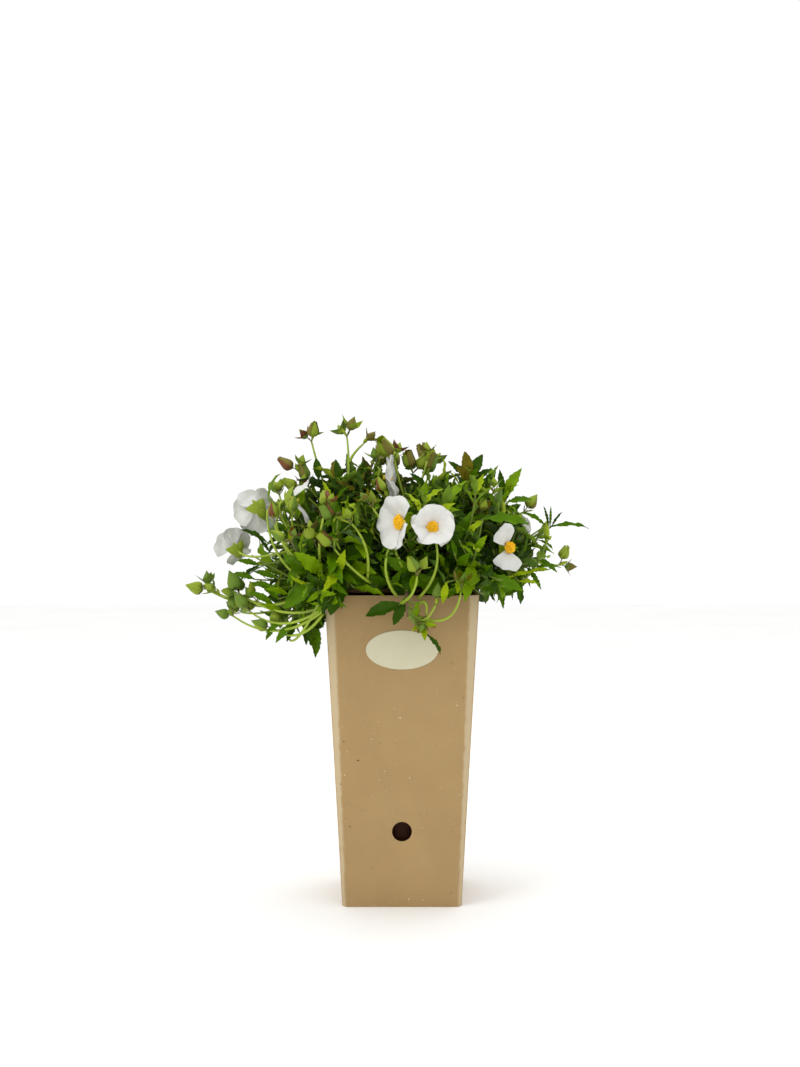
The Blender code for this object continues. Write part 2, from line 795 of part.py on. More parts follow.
def bud_solid(name, foot, way, home):
    """A five-sided bud that tapers down to a thin stalk."""
    bm = bmesh.new()
    bmesh.ops.create_uvsphere(bm, u_segments=5, v_segments=3, radius=1)
    for vert in bm.verts:
        x, y, z = vert.co
        ring = Vector((x, y, 0)).normalized() if abs(z) < 0.9 else Vector()
        if z > 0:
            vert.co = ring * BUD_RADIUS + UP * (PEDICEL + (BUD_LENGTH if z > 0.9 else BUD_BELLY))
        else:
            vert.co = ring * PEDICEL_RADIUS - UP * (2 * TIP_SINK if z < -0.9 else TIP_SINK)
    bmesh.ops.transform(bm, matrix=Matrix.Translation(foot) @ facing(way), verts=bm.verts)
    mesh_object(name, bm, home, "foliage")


def petal_points(cup, reaches):
    """Points round a cupped flower, at the distances from its heart that reaches gives in turn."""
    for i, reach in enumerate(reaches):
        angle = (i + 0.5) / len(reaches) * math.tau + math.pi / 2
        flat = reach * math.cos(cup)
        yield flat * math.cos(angle), flat * math.sin(angle), reach * math.sin(cup)


def bloom_solid(name, heart, way, cup, petals, home):
    """A flower: petals with a notch between each two, round a low five-sided boss, on a five-sided calyx."""
    turn = Matrix.Translation(heart) @ facing(way)
    rim_reach = {"1": (NOTCH_REACH, PETAL_LENGTH, PETAL_LENGTH), "0": (SHED_REACH,) * 3}
    bm = bmesh.new()
    rim_reaches = [reach for petal in petals for reach in rim_reach[petal]]
    rim = [bm.verts.new(point) for point in petal_points(cup, rim_reaches)]
    ring = [bm.verts.new(point) for point in petal_points(cup, [BOSS_RADIUS] * len(petals))]
    top = bm.verts.new((0, 0, BOSS_HEIGHT))
    for i, foot in enumerate(ring):
        following = ring[(i + 1) % len(ring)]
        outer = [rim[(3 * i + step) % len(rim)] for step in range(4)]
        bm.faces.new((top, foot, following))
        bm.faces.new((foot, outer[0], outer[1], outer[2]))
        bm.faces.new((foot, outer[2], following))
        bm.faces.new((following, outer[2], outer[3]))
    bmesh.ops.triangulate(bm, faces=bm.faces)
    bmesh.ops.transform(bm, matrix=turn, verts=bm.verts)
    cupped = mesh_object(name, bm, home, "foliage")
    modifier(cupped, "SOLIDIFY", thickness=PETAL_THICK, offset=-1)
    settle(cupped)
    top = BOSS_RADIUS * math.sin(cup) - PETAL_THICK / 2
    low, high = CALYX_RADII
    bm = bmesh.new()
    bmesh.ops.create_cone(bm, cap_ends=True, segments=5, radius1=low, radius2=high, depth=top + CALYX_LENGTH)
    place = turn @ Matrix.Translation((0, 0, (top - CALYX_LENGTH) / 2)) @ Matrix.Rotation(math.pi / 5, 4, "Z")
    bmesh.ops.transform(bm, matrix=place, verts=bm.verts)
    mesh_object(name, bm, home, "foliage")


def settle(obj):
    """Replaces an object's mesh by the one that its modifiers give."""
    mesh = evaluated_mesh(obj)
    obj.modifiers.clear()
    obj.data = mesh


def connected(verts):
    """The groups of vertices that edges join, largest first."""
    left = set(verts)
    groups = []
    while left:
        group, front = set(), [left.pop()]
        while front:
            vert = front.pop()
            group.add(vert)
            nearby = {edge.other_vert(vert) for edge in vert.link_edges} & left
            left -= nearby
            front.extend(nearby)
        groups.append(group)
    return sorted(groups, key=len, reverse=True)


def keep_largest(obj):
    """Drops loose scraps, and the walls of any hollow that fusing sealed."""
    bm = bmesh.new()
    bm.from_mesh(obj.data)
    loose = [vert for group in connected(bm.verts)[1:] for vert in group]
    bmesh.ops.delete(bm, geom=loose, context="VERTS")
    bm.to_mesh(obj.data)
    bm.free()


def fuse(base, pieces):
    """Joins every object of the collection pieces to base, then removes them."""
    modifier(base, "BOOLEAN", operation="UNION", operand_type="COLLECTION", collection=pieces, solver="EXACT")
    settle(base)
    for obj in list(pieces.objects):
        bpy.data.objects.remove(obj)
    bpy.data.collections.remove(pieces)


def make_mass(mass, section, home):
    """The solid of a mass: all that grew on its stem, joined to it."""
    pieces = collection(f"{mass.name}_pieces")
    as_curves = []
    for points, radii in [(mass.line, MASS_STEM_RADII)] + mass.twigs:
        twig = limb("twig", points, radii, pieces, "foliage")
        twig.data.bevel_mode = "OBJECT"
        twig.data.bevel_object = section
        as_curves.append(twig)
    base, *_ = [as_mesh(curve) for curve in as_curves]
    for leaf in mass.leaves:
        leaf_solid("leaf", *leaf, pieces)
    for bud in mass.buds:
        bud_solid("bud", *bud, pieces)
    for bloom in mass.blooms:
        bloom_solid("bloom", *bloom, pieces)
    pieces.objects.unlink(base)
    home.objects.link(base)
    fuse(base, pieces)
    keep_largest(base)
    base.data.shade_smooth()
    base.data.set_sharp_from_angle(angle=ROUND_EDGE)
    base.name = f"mass_{mass.name}"


def bough_end(sides, line):
    """The first step of a line that lies well inside a space, at least three from either end."""
    for i in range(3, len(line) - 3):
        if inside(sides, line[i], BOUGH_ENTRY):
            return i
    return len(line) - 3


def make_plant(home, cutters):
    heights = [between(STEM_FOOT, STEM_TOP, i, STEM_STEPS) for i in range(STEM_STEPS + 1)]
    stem_points = [stem_axis(height) for height in heights]
    limb("main_stem", stem_points, STEM_RADII, home, "bark", resolution=2)
    limbs = [(stem_points, STEM_RADII[0])]
    grown_on = {}
    for name, heart in HEARTS.items():
        line = bough_line(Vector(heart) * MM)
        end = bough_end(own_space(name), line)
        limb(f"bough_{name}", line[: end + 1], BOUGH_RADII, home, "bark")
        limbs.append((line[: end + 1], BOUGH_RADII[0]))
        grown_on[name] = line[end:]
    taken = {}
    lines = enumerate(grown_on.items(), start=FIRST_SEED)
    masses = [Mass(name, seed, line, limbs, taken) for seed, (name, line) in lines]
    for mass in masses:
        mass.flower()
    for mass in masses:
        mass.branch()
    section = twig_section(cutters)
    for mass in masses:
        make_mass(mass, section, home)
    bpy.data.objects.remove(section)


def main():
    clear_scene()
    plant = collection("potted_rockrose")
    cutters = collection("cutters")
    make_sleeve(plant, cutters)
    make_label(plant)
    make_pot(plant)
    make_soil(plant)
    make_plant(plant, cutters)


main()
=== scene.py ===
# %% [markdown]
# # A potted rockrose
#
# The real thing is a low garden shrub with toothed leaves and white papery flowers. It grows in a tall
# square nursery pot, and the pot stands in a sleeve of brown card with a paper label and a round hole.
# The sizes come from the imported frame. Each piece below is added inside the space of the plain solid
# that it stands for, so nothing is fitted by eye afterwards.

import math
import random
from itertools import product

import bmesh
import bpy
import numpy as np
from mathutils import Matrix, Vector, noise
from mathutils.kdtree import KDTree


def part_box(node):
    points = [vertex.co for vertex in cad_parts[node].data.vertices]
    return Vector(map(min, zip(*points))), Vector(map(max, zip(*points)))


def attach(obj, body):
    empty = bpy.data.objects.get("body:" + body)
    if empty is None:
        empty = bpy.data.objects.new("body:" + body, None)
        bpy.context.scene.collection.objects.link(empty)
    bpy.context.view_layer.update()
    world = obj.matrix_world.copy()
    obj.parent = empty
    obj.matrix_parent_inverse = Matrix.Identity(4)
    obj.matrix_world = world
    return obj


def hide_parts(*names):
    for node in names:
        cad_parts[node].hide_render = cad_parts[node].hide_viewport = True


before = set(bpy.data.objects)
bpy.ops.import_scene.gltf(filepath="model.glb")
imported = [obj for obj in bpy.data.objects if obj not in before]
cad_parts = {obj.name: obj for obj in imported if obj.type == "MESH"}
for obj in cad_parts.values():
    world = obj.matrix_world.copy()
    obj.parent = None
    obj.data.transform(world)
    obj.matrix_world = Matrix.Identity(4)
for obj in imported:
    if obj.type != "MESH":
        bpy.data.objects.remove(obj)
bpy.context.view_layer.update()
MM = 0.001
UP = Vector((0, 0, 1))


def mm(point):
    """A place in metres from one in millimetres."""
    return Vector(point) * MM


# %% [markdown]
# ## Hands
#
# Modelling by operator needs care in a script: an operator acts on all that is selected. These few
# helpers clear the selection, add or pick up one piece, and pick vertices, edges or faces by a test.
# Every finished piece gets its material and the body that it rides on in one call.


# %% Helpers for picking up and adding
def put_down():
    """Leaves edit mode and selects nothing."""
    if bpy.context.object and bpy.context.object.mode != "OBJECT":
        bpy.ops.object.mode_set(mode="OBJECT")
    bpy.ops.object.select_all(action="DESELECT")


def pick_up(piece):
    put_down()
    piece.select_set(True)
    bpy.context.view_layer.objects.active = piece
    return piece


def edit(piece, mode="VERT", everything=False):
    """Enters edit mode with nothing selected, or everything."""
    pick_up(piece)
    bpy.ops.object.mode_set(mode="EDIT")
    bpy.ops.mesh.select_mode(type=mode)
    bpy.ops.mesh.select_all(action="SELECT" if everything else "DESELECT")


def pick(piece, kind, wanted):
    """In edit mode, selects the verts, edges or faces for which wanted is true, and nothing else."""
    bpy.ops.mesh.select_all(action="DESELECT")
    bm = bmesh.from_edit_mesh(piece.data)
    for part in getattr(bm, kind):
        if wanted(part):
            part.select_set(True)
    bm.select_flush_mode()
    bmesh.update_edit_mesh(piece.data)


def named(name):
    """The object that an operator has just added, under its new name."""
    piece = bpy.context.object
    piece.name = name
    piece.data.name = name
    return piece


def add(primitive, name, **settings):
    """A new primitive, modelled with nothing else selected, under its name."""
    put_down()
    primitive(**settings)
    return named(name)


# %% Helpers for shaping and finishing
WELD = 0.005 * MM


def settle(piece):
    """Puts the piece's place, turn and scale into its mesh."""
    pick_up(piece)
    bpy.ops.object.transform_apply(location=True, rotation=True, scale=True)
    return piece


def resize(x, y, z, middle=(0, 0, 0)):
    """In edit mode, stretches what is selected away from a fixed middle."""
    bpy.ops.transform.resize(value=(x, y, z), center_override=middle)


def smooth(piece, degrees=None):
    """Smooth shading, all over or up to an angle between two faces."""
    pick_up(piece)
    if degrees is None:
        bpy.ops.object.shade_smooth()
    else:
        bpy.ops.object.shade_smooth_by_angle(angle=math.radians(degrees))


def apply_modifier(piece, kind, **settings):
    pick_up(piece)
    added = piece.modifiers.new(kind.title(), kind)
    for key, value in settings.items():
        setattr(added, key, value)
    bpy.ops.object.modifier_apply(modifier=added.name)


def mend(piece):
    """Welds vertices that lie together, and turns every face outwards."""
    edit(piece, everything=True)
    bpy.ops.mesh.remove_doubles(threshold=WELD)
    bpy.ops.mesh.normals_make_consistent(inside=False)
    put_down()


def hand_over(piece, slot, finish, *nodes):
    """Gives a finished piece its material, the nodes that it replaces and its body; slot is not used."""
    piece.data.materials.clear()
    piece.data.materials.append(finish)
    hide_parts(*nodes)
    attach(piece, "root")
    print(f"{piece.name}: {len(piece.data.polygons)} faces for {', '.join(nodes[:3])}")
    return piece


# %% [markdown]
# ## Camera
#
# The photo was taken level with the leaves, from about a metre in front. A level camera keeps the
# sleeve's sides straight. The focal length in pixels and the horizon were worked out from the way that
# the sleeve narrows, and the lens follows from them.

# %% Set the camera
PHOTO = (800, 1067)
FOCAL_PIXELS = 1390
SENSOR = 36.0
CAMERA_PLACE = mm((-1.5, -1114, 287))

camera = add(bpy.ops.object.camera_add, "camera", location=CAMERA_PLACE, rotation=(math.pi / 2, 0, 0))
camera.data.sensor_width = SENSOR
camera.data.lens = SENSOR * FOCAL_PIXELS / max(PHOTO)
camera.data.clip_start = 0.01
bpy.context.scene.camera = camera
print("lens in mm:", round(camera.data.lens, 1))

# %% [markdown]
# ## Studio
#
# The plant stands on a plain white floor. A white world gives most of the light, as the walls of a
# light tent do, and it makes the floor as bright as the background, so no horizon shows. One soft lamp
# above and in front makes the leaves shine, and three weaker ones shape the sides and the top.

# %% Light the studio
FLOOR_SIZE = 9.0
LIGHTS = {
    # name: place in metres, size, watts
    "key": ((-0.9, -0.9, 1.7), 0.8, 8),
    "right_fill": ((1.6, -0.5, 0.7), 1.4, 2),
    "left_fill": ((-1.7, -0.2, 0.6), 1.4, 2),
    "top": ((0.1, 0.4, 1.8), 1.0, 7),
}
AIM = Vector((0, 0, 0.24))
GLOW = 1.04

for name, (place, size, watts) in LIGHTS.items():
    light = add(bpy.ops.object.light_add, name, type="AREA", location=place)
    light.data.size = size
    light.data.energy = watts
    light.rotation_euler = (AIM - Vector(place)).to_track_quat("-Z", "Y").to_euler()

world = bpy.data.worlds.new("studio")
world.use_nodes = True
bpy.context.scene.world = world
glow = world.node_tree.nodes["Background"]
glow.inputs["Color"].default_value = (1, 1, 1, 1)
glow.inputs["Strength"].default_value = GLOW
bpy.context.scene.view_settings.view_transform = "Standard"
print("lights:", ", ".join(LIGHTS))

# %% [markdown]
# ## Shader tools
#
# Several finishes need the same two effects, so each is a node group. `mottle` mixes two colours by
# soft noise, as in leaves, card and compost. `grain` gives a bump from fine noise that can be drawn
# out along one direction, as in fibres and bark.


# %% Add a shader node
def new_node(tree, kind, **values):
    """A node with its settings, or the defaults of its sockets, given by name."""
    node = tree.nodes.new(kind)
    for key, value in values.items():
        socket = node.inputs.get(key.replace("_", " "))
        if socket is not None and key[0].isupper():
            socket.default_value = value
        else:
            setattr(node, key, value)
    return node


# %% Wire up nodes
def feed(tree, value, socket):
    """Gives a socket a value, or links it to another node's output."""
    if isinstance(value, bpy.types.NodeSocket):
        tree.links.new(value, socket)
    else:
        socket.default_value = value


def maths(tree, operation, *values, clamp=False):
    """A maths node whose inputs are numbers or other nodes' outputs."""
    node = new_node(tree, "ShaderNodeMath", operation=operation, use_clamp=clamp)
    for value, socket in zip(values, node.inputs):
        feed(tree, value, socket)
    return node.outputs[0]


def mixed(tree, share, under, over):
    """One colour laid over another by a share, which goes from 0 to 1."""
    node = new_node(tree, "ShaderNodeMix", data_type="RGBA")
    for label, value in (("Factor", share), ("A", under), ("B", over)):
        feed(tree, value, node.inputs[label])
    return node.outputs["Result"]


def drawn_out(tree, vector, factors):
    """A vector with each of its parts multiplied by a factor."""
    node = new_node(tree, "ShaderNodeVectorMath", operation="MULTIPLY")
    feed(tree, vector, node.inputs[0])
    feed(tree, factors, node.inputs[1])
    return node.outputs[0]


def noise_of(tree, vector, **values):
    """Soft noise that follows a vector."""
    node = new_node(tree, "ShaderNodeTexNoise", **values)
    feed(tree, vector, node.inputs["Vector"])
    return node.outputs["Fac"]


def ramp(tree, value, **values):
    """A value taken to 0 below one limit and to 1 above another."""
    node = new_node(tree, "ShaderNodeMapRange", **values)
    feed(tree, value, node.inputs["Value"])
    return node.outputs["Result"]


# %% Make groups, materials and colours
def new_group(name, inputs, outputs):
    """An empty node group, with what it is given and what it has to put out."""
    tree = bpy.data.node_groups.new(name, "ShaderNodeTree")
    for label, (kind, value) in inputs.items():
        socket = tree.interface.new_socket(label, in_out="INPUT", socket_type=kind)
        if value is not None:
            socket.default_value = value
    for label, kind in outputs.items():
        tree.interface.new_socket(label, in_out="OUTPUT", socket_type=kind)
    return tree, tree.nodes.new("NodeGroupInput").outputs, tree.nodes.new("NodeGroupOutput").inputs


def new_material(name, **values):
    """A material with a Principled shader, and sockets of it set by name."""
    made = bpy.data.materials.new(name)
    made.use_nodes = True
    shader = made.node_tree.nodes["Principled BSDF"]
    for key, value in values.items():
        shader.inputs[key.replace("_", " ")].default_value = value
    return made, made.node_tree, shader


def use_group(tree, group, **values):
    node = tree.nodes.new("ShaderNodeGroup")
    node.node_tree = group
    for key, value in values.items():
        node.inputs[key.replace("_", " ")].default_value = value
    return node


def rgb(red, green, blue):
    """A colour as seen on a screen, 0 to 255, as the linear values that shaders use."""
    parts = (part / 255 for part in (red, green, blue))
    return (*(part / 12.92 if part <= 0.04045 else ((part + 0.055) / 1.055) ** 2.4 for part in parts), 1)


# %% Build the node group for mottled colour
MOTTLE, given, wanted = new_group(
    "mottle",
    {
        "Vector": ("NodeSocketVector", None),
        "Light": ("NodeSocketColor", (1, 1, 1, 1)),
        "Dark": ("NodeSocketColor", (0, 0, 0, 1)),
        "Scale": ("NodeSocketFloat", 60.0),
        "Contrast": ("NodeSocketFloat", 2.0),
    },
    {"Color": "NodeSocketColor"},
)
clouds = new_node(MOTTLE, "ShaderNodeTexNoise", Detail=4.0, Roughness=0.6)
feed(MOTTLE, given["Vector"], clouds.inputs["Vector"])
feed(MOTTLE, given["Scale"], clouds.inputs["Scale"])
centred = maths(MOTTLE, "SUBTRACT", clouds.outputs["Fac"], 0.5)
light_part = maths(MOTTLE, "MULTIPLY_ADD", centred, given["Contrast"], 0.5, clamp=True)
feed(MOTTLE, mixed(MOTTLE, light_part, given["Dark"], given["Light"]), wanted["Color"])

# %% Build the node group for grain
GRAIN, given, wanted = new_group(
    "grain",
    {
        "Vector": ("NodeSocketVector", None),
        "Stretch": ("NodeSocketVector", (1, 1, 1)),
        "Scale": ("NodeSocketFloat", 600.0),
        "Strength": ("NodeSocketFloat", 0.3),
        "Depth": ("NodeSocketFloat", 0.2 * MM),
    },
    {"Normal": "NodeSocketVector"},
)
fine = new_node(GRAIN, "ShaderNodeTexNoise", Detail=5.0, Roughness=0.65)
bump = new_node(GRAIN, "ShaderNodeBump")
for value, socket in (
    (drawn_out(GRAIN, given["Vector"], given["Stretch"]), fine.inputs["Vector"]),
    (given["Scale"], fine.inputs["Scale"]),
    (fine.outputs["Fac"], bump.inputs["Height"]),
    (given["Strength"], bump.inputs["Strength"]),
    (given["Depth"], bump.inputs["Distance"]),
    (bump.outputs[0], wanted["Normal"]),
):
    feed(GRAIN, value, socket)
print("node groups:", MOTTLE.name, GRAIN.name)


# %% A finish of two mottled colours with a grain
def mottled(name, light, dark, roughness, scale, contrast=2.0, grain=0.3, stretch=(1, 1, 1), **values):
    """Two colours in soft patches, with a fine bump. It returns its nodes too, for more work."""
    made, tree, shader = new_material(name, Roughness=roughness, **values)
    spots = new_node(tree, "ShaderNodeTexCoord")
    patches = use_group(tree, MOTTLE, Light=light, Dark=dark, Scale=scale, Contrast=contrast)
    bumps = use_group(tree, GRAIN, Strength=grain, Stretch=stretch)
    for group in (patches, bumps):
        feed(tree, spots.outputs["Object"], group.inputs["Vector"])
    feed(tree, patches.outputs["Color"], shader.inputs["Base Color"])
    feed(tree, bumps.outputs["Normal"], shader.inputs["Normal"])
    return made, tree, shader, spots, patches, bumps


# %% [markdown]
# ## Floor
#
# The floor is only a stage. It is one flat, slightly rough white plane, so that the sleeve gets a soft
# shadow at its foot and a little light from below.

# %% Lay the floor
floor = add(bpy.ops.mesh.primitive_plane_add, "floor", size=FLOOR_SIZE)
finish, *_ = mottled("studio_floor", rgb(250, 250, 249), rgb(245, 245, 244), 0.7, scale=3.0, grain=0.02)
floor.data.materials.append(finish)
print("floor in metres:", FLOOR_SIZE)

# %% [markdown]
# ## Card sleeve
#
# The sleeve is one sheet of brown card, creased into four panels with soft, cut-back corners. It
# widens towards the rim. It starts as a cube with no top and bottom. Its upright edges are bevelled
# for the corners, and the rim is widened panel by panel, because the corners widen faster than the
# panels. The creases get a small round bevel, Solidify gives the card its thickness, and a Boolean
# punches the hole.

# %% Measure the sleeve
CARD = 1.6 * MM
FOLD_FOOT = 3 * MM
FOLD_RIM = 8 * MM
HOLE_RADIUS = 7.6 * MM
HOLE_HEIGHT = 58.5 * MM

low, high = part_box("sleeve")
SLEEVE_RIM = high.x - low.x
SLEEVE_HEIGHT = 240 * MM
SLEEVE_FOOT = 92 * MM


def between(start, end, share):
    return start + (end - start) * share


def sleeve_half(height):
    """Half the sleeve's outer width at a height."""
    return between(SLEEVE_FOOT, SLEEVE_RIM, height / SLEEVE_HEIGHT) / 2


SLEEVE_LEAN = math.atan2((SLEEVE_RIM - SLEEVE_FOOT) / 2, SLEEVE_HEIGHT)
sizes = (SLEEVE_RIM, SLEEVE_FOOT, SLEEVE_HEIGHT)
print("rim, foot and height in mm:", *(round(size / MM, 1) for size in sizes))


# %% Fold the sleeve
LEVEL = 0.01 * MM
FACES_UP = 0.9
CREASE_ROUND = 1.6 * MM
MOSTLY_UPRIGHT = 10 * MM


def at_height(height):
    """A test for vertices that lie at a height."""
    return lambda vert: abs(vert.co.z - height) < LEVEL


def level_at(height):
    """A test for edges that lie at a height."""
    return lambda edge: all(map(at_height(height), edge.verts))


def upright(edge):
    a, b = (vert.co for vert in edge.verts)
    return abs(a.z - b.z) > MOSTLY_UPRIGHT


def folded_box(name, foot, rim, height, corner_foot, corner_rim):
    """An open tapering box with cut-back corners: four upright walls, standing on the floor."""
    cube = bpy.ops.mesh.primitive_cube_add
    box = settle(add(cube, name, size=1, location=(0, 0, height / 2), scale=(foot, foot, height)))
    edit(box, "FACE")
    pick(box, "faces", lambda face: abs(face.normal.z) > FACES_UP)
    bpy.ops.mesh.delete(type="ONLY_FACE")
    bpy.ops.mesh.select_mode(type="EDGE")
    pick(box, "edges", upright)
    bpy.ops.mesh.bevel(offset=corner_foot, offset_type="OFFSET", segments=1)
    bpy.ops.mesh.select_mode(type="VERT")
    top = at_height(height)
    pick(box, "verts", top)
    resize(rim / foot, rim / foot, 1)
    have = (foot / 2 - corner_foot) * rim / foot
    widen = (rim / 2 - corner_rim) / have
    pick(box, "verts", lambda vert: top(vert) and abs(vert.co.y) > abs(vert.co.x))
    resize(widen, 1, 1)
    pick(box, "verts", lambda vert: top(vert) and abs(vert.co.x) > abs(vert.co.y))
    resize(1, widen, 1)
    put_down()
    return box


sleeve = folded_box("card_sleeve", SLEEVE_FOOT, SLEEVE_RIM, SLEEVE_HEIGHT, FOLD_FOOT, FOLD_RIM)
edit(sleeve, "EDGE")
pick(sleeve, "edges", upright)
bpy.ops.mesh.bevel(offset=CREASE_ROUND, segments=3)
put_down()
apply_modifier(sleeve, "SOLIDIFY", thickness=CARD, offset=-1, use_even_offset=True)
print("sleeve faces before the hole:", len(sleeve.data.polygons))

# %% Punch the hole
PUNCH_DEPTH = 8 * CARD
CUT_EDGE = 0.22 * MM
CARD_SMOOTH = 28
punch = add(
    bpy.ops.mesh.primitive_cylinder_add,
    "punch",
    vertices=64,
    radius=HOLE_RADIUS,
    depth=PUNCH_DEPTH,
    location=(0, -sleeve_half(HOLE_HEIGHT), HOLE_HEIGHT),
    rotation=(math.pi / 2, 0, 0),
)
apply_modifier(sleeve, "BOOLEAN", object=punch, operation="DIFFERENCE", solver="EXACT")
bpy.data.objects.remove(punch)
apply_modifier(
    sleeve, "BEVEL", width=CUT_EDGE, segments=2, limit_method="ANGLE", angle_limit=math.radians(60)
)
mend(sleeve)
smooth(sleeve, CARD_SMOOTH)
print("sleeve faces:", len(sleeve.data.polygons))

# %% [markdown]
# ## Kraft card
#
# Brown card is made of short fibres, mostly lying one way, with a few pale flecks and dark specks. Along
# the creases and on the cut-back corners a paler strip with a ragged edge is painted in. It is a painted
# highlight for the light that the corner facets catch from the sides. The strips are worked out in the
# shader from the object's own coordinates: the crease lies where the distance from the middle
# plane equals the panel's half width at that height.

# %% Build the card finish
CARD_LIGHT = rgb(168, 140, 96)
CARD_DARK = rgb(158, 130, 87)
# A paler colour painted on the creases and cut-back corners: a painted highlight where they catch side light
CARD_CORNER_HIGHLIGHT = rgb(190, 172, 138)
PALE_FLECK = rgb(212, 192, 152)
DARK_SPECK = rgb(96, 66, 40)
HIGHLIGHT_BLEND = (-0.8 * MM, 1.6 * MM)
HIGHLIGHT_SHARE = 0.85
RAGGED = 3 * MM
card, tree, shader, spots, patches, _ = mottled(
    "kraft_card",
    CARD_LIGHT,
    CARD_DARK,
    0.82,
    scale=26.0,
    contrast=1.6,
    grain=0.35,
    stretch=(1, 1, 0.25),
    Specular_IOR_Level=0.25,
)
surface = spots.outputs["Object"]
parts = new_node(tree, "ShaderNodeSeparateXYZ")
feed(tree, surface, parts.inputs[0])
across = maths(tree, "ABSOLUTE", parts.outputs["X"])
deep = maths(tree, "ABSOLUTE", parts.outputs["Y"])
nearer = maths(tree, "MINIMUM", across, deep)
foot_crease, rim_crease = SLEEVE_FOOT / 2 - FOLD_FOOT, SLEEVE_RIM / 2 - FOLD_RIM
crease_slope = (rim_crease - foot_crease) / SLEEVE_HEIGHT
crease = maths(tree, "MULTIPLY_ADD", parts.outputs["Z"], crease_slope, foot_crease)
past_crease = maths(tree, "SUBTRACT", nearer, crease)
ragged = noise_of(tree, surface, Scale=180.0, Detail=4.0)
ragged_past_crease = maths(tree, "ADD", past_crease, maths(tree, "MULTIPLY_ADD", ragged, RAGGED, -RAGGED / 2))
# A ragged strip along each crease, painted paler as a highlight for the lit corner facets
highlight_strip = ramp(
    tree, ragged_past_crease, interpolation_type="SMOOTHSTEP", From_Min=HIGHLIGHT_BLEND[0], From_Max=HIGHLIGHT_BLEND[1], To_Max=HIGHLIGHT_SHARE
)
skin = mixed(tree, highlight_strip, patches.outputs["Color"], CARD_CORNER_HIGHLIGHT)
for colour, fineness, least, most in ((PALE_FLECK, 420.0, 0.745, 0.80), (DARK_SPECK, 330.0, 0.745, 0.79)):
    dots = noise_of(tree, surface, Scale=fineness, Detail=2.0, Roughness=0.4)
    skin = mixed(tree, ramp(tree, dots, From_Min=least, From_Max=most), skin, colour)
feed(tree, skin, shader.inputs["Base Color"])
hand_over(sleeve, "card", card, "sleeve")

# %% [markdown]
# ## Label
#
# A small oval of blank paper is stuck to the front panel as its label. A disc is drawn out to an oval,
# extruded and slightly bevelled, then leaned against the panel.

# %% Cut and stick the label
LABEL_WIDTH = 55 * MM
LABEL_HEIGHT = 30 * MM
LABEL_MIDDLE = 198.5 * MM
LABEL_THICK = 0.45 * MM
LABEL_RINGS = (0.8 * MM, 3 * MM)
LABEL_EDGE = 0.12 * MM
LABEL_OVERLAP = 0.1 * MM
LABEL_SMOOTH = 30

label = add(bpy.ops.mesh.primitive_circle_add, "paper_label", vertices=128, radius=0.5, fill_type="NGON")
edit(label, everything=True)
resize(LABEL_WIDTH, LABEL_HEIGHT, 1)
for width in LABEL_RINGS:
    bpy.ops.mesh.inset(thickness=width)
bpy.ops.mesh.select_all(action="SELECT")
bpy.ops.mesh.extrude_region_move(TRANSFORM_OT_translate={"value": (0, 0, LABEL_THICK)})
put_down()
apply_modifier(label, "BEVEL", width=LABEL_EDGE, segments=2, limit_method="ANGLE")
label.rotation_euler = (math.pi / 2 + SLEEVE_LEAN, 0, 0)
label.location = (0, -sleeve_half(LABEL_MIDDLE) - LABEL_OVERLAP, LABEL_MIDDLE)
mend(settle(label))
smooth(label, LABEL_SMOOTH)
paper, *_ = mottled(
    "label_paper", rgb(200, 195, 165), rgb(192, 187, 155), 0.55, scale=90.0, contrast=1.5, grain=0.12
)
hand_over(label, "label", paper, "label")

# %% [markdown]
# ## Nursery pot
#
# The pot is moulded plastic: thin walls, a flat foot, a stepped lip and upright ribs on each side. Most
# of it hides in the sleeve, but its ribs show through the hole and its lip shows from above. It is the
# same kind of tapering box as the sleeve, with a floor, closed corners and extruded steps for the lip.

# %% Mould the pot
POT_HEIGHT = 237 * MM
POT_FOOT = 76 * MM
POT_WALL = 1.4 * MM
LIP_HEIGHT = 9 * MM
LIP_STEP = 2.4 * MM
POT_CORNER_FOOT = 8 * MM
POT_CORNER_RIM = 11 * MM
RIBS_A_SIDE = 4
RIB_SPACING = 10 * MM
RIB_RADIUS = 1.0 * MM
RIB_ENDS = (12 * MM, 216 * MM)
POT_ROUND = 2.2 * MM
POT_SMOOTH = 35
GAP = 0.3 * MM
SLACK = 0.1 * MM


def pot_half(height):
    """Half the pot's outer width under its lip."""
    under_lip = sleeve_half(POT_HEIGHT) - CARD - GAP - LIP_STEP - SLACK
    return between(POT_FOOT / 2, under_lip, height / POT_HEIGHT)


lip_foot = POT_HEIGHT - LIP_HEIGHT
inner_half = pot_half(lip_foot)
step_half = inner_half + LIP_STEP
rim_half = pot_half(POT_HEIGHT) + LIP_STEP
pot = folded_box("nursery_pot", POT_FOOT, 2 * inner_half, lip_foot, POT_CORNER_FOOT, POT_CORNER_RIM)
edit(pot, "EDGE")
pick(pot, "edges", upright)
bpy.ops.mesh.bevel(offset=POT_ROUND, segments=3)
pick(pot, "edges", level_at(lip_foot))
for outward, rise in ((step_half / inner_half, LIP_STEP), (rim_half / step_half, LIP_HEIGHT - LIP_STEP)):
    bpy.ops.mesh.extrude_edges_move()
    resize(outward, outward, 1)
    bpy.ops.transform.translate(value=(0, 0, rise))
pick(pot, "edges", level_at(0))
bpy.ops.mesh.edge_face_add()
put_down()
mend(pot)
apply_modifier(pot, "SOLIDIFY", thickness=POT_WALL, offset=-1, use_even_offset=True)
print("pot faces:", len(pot.data.polygons))

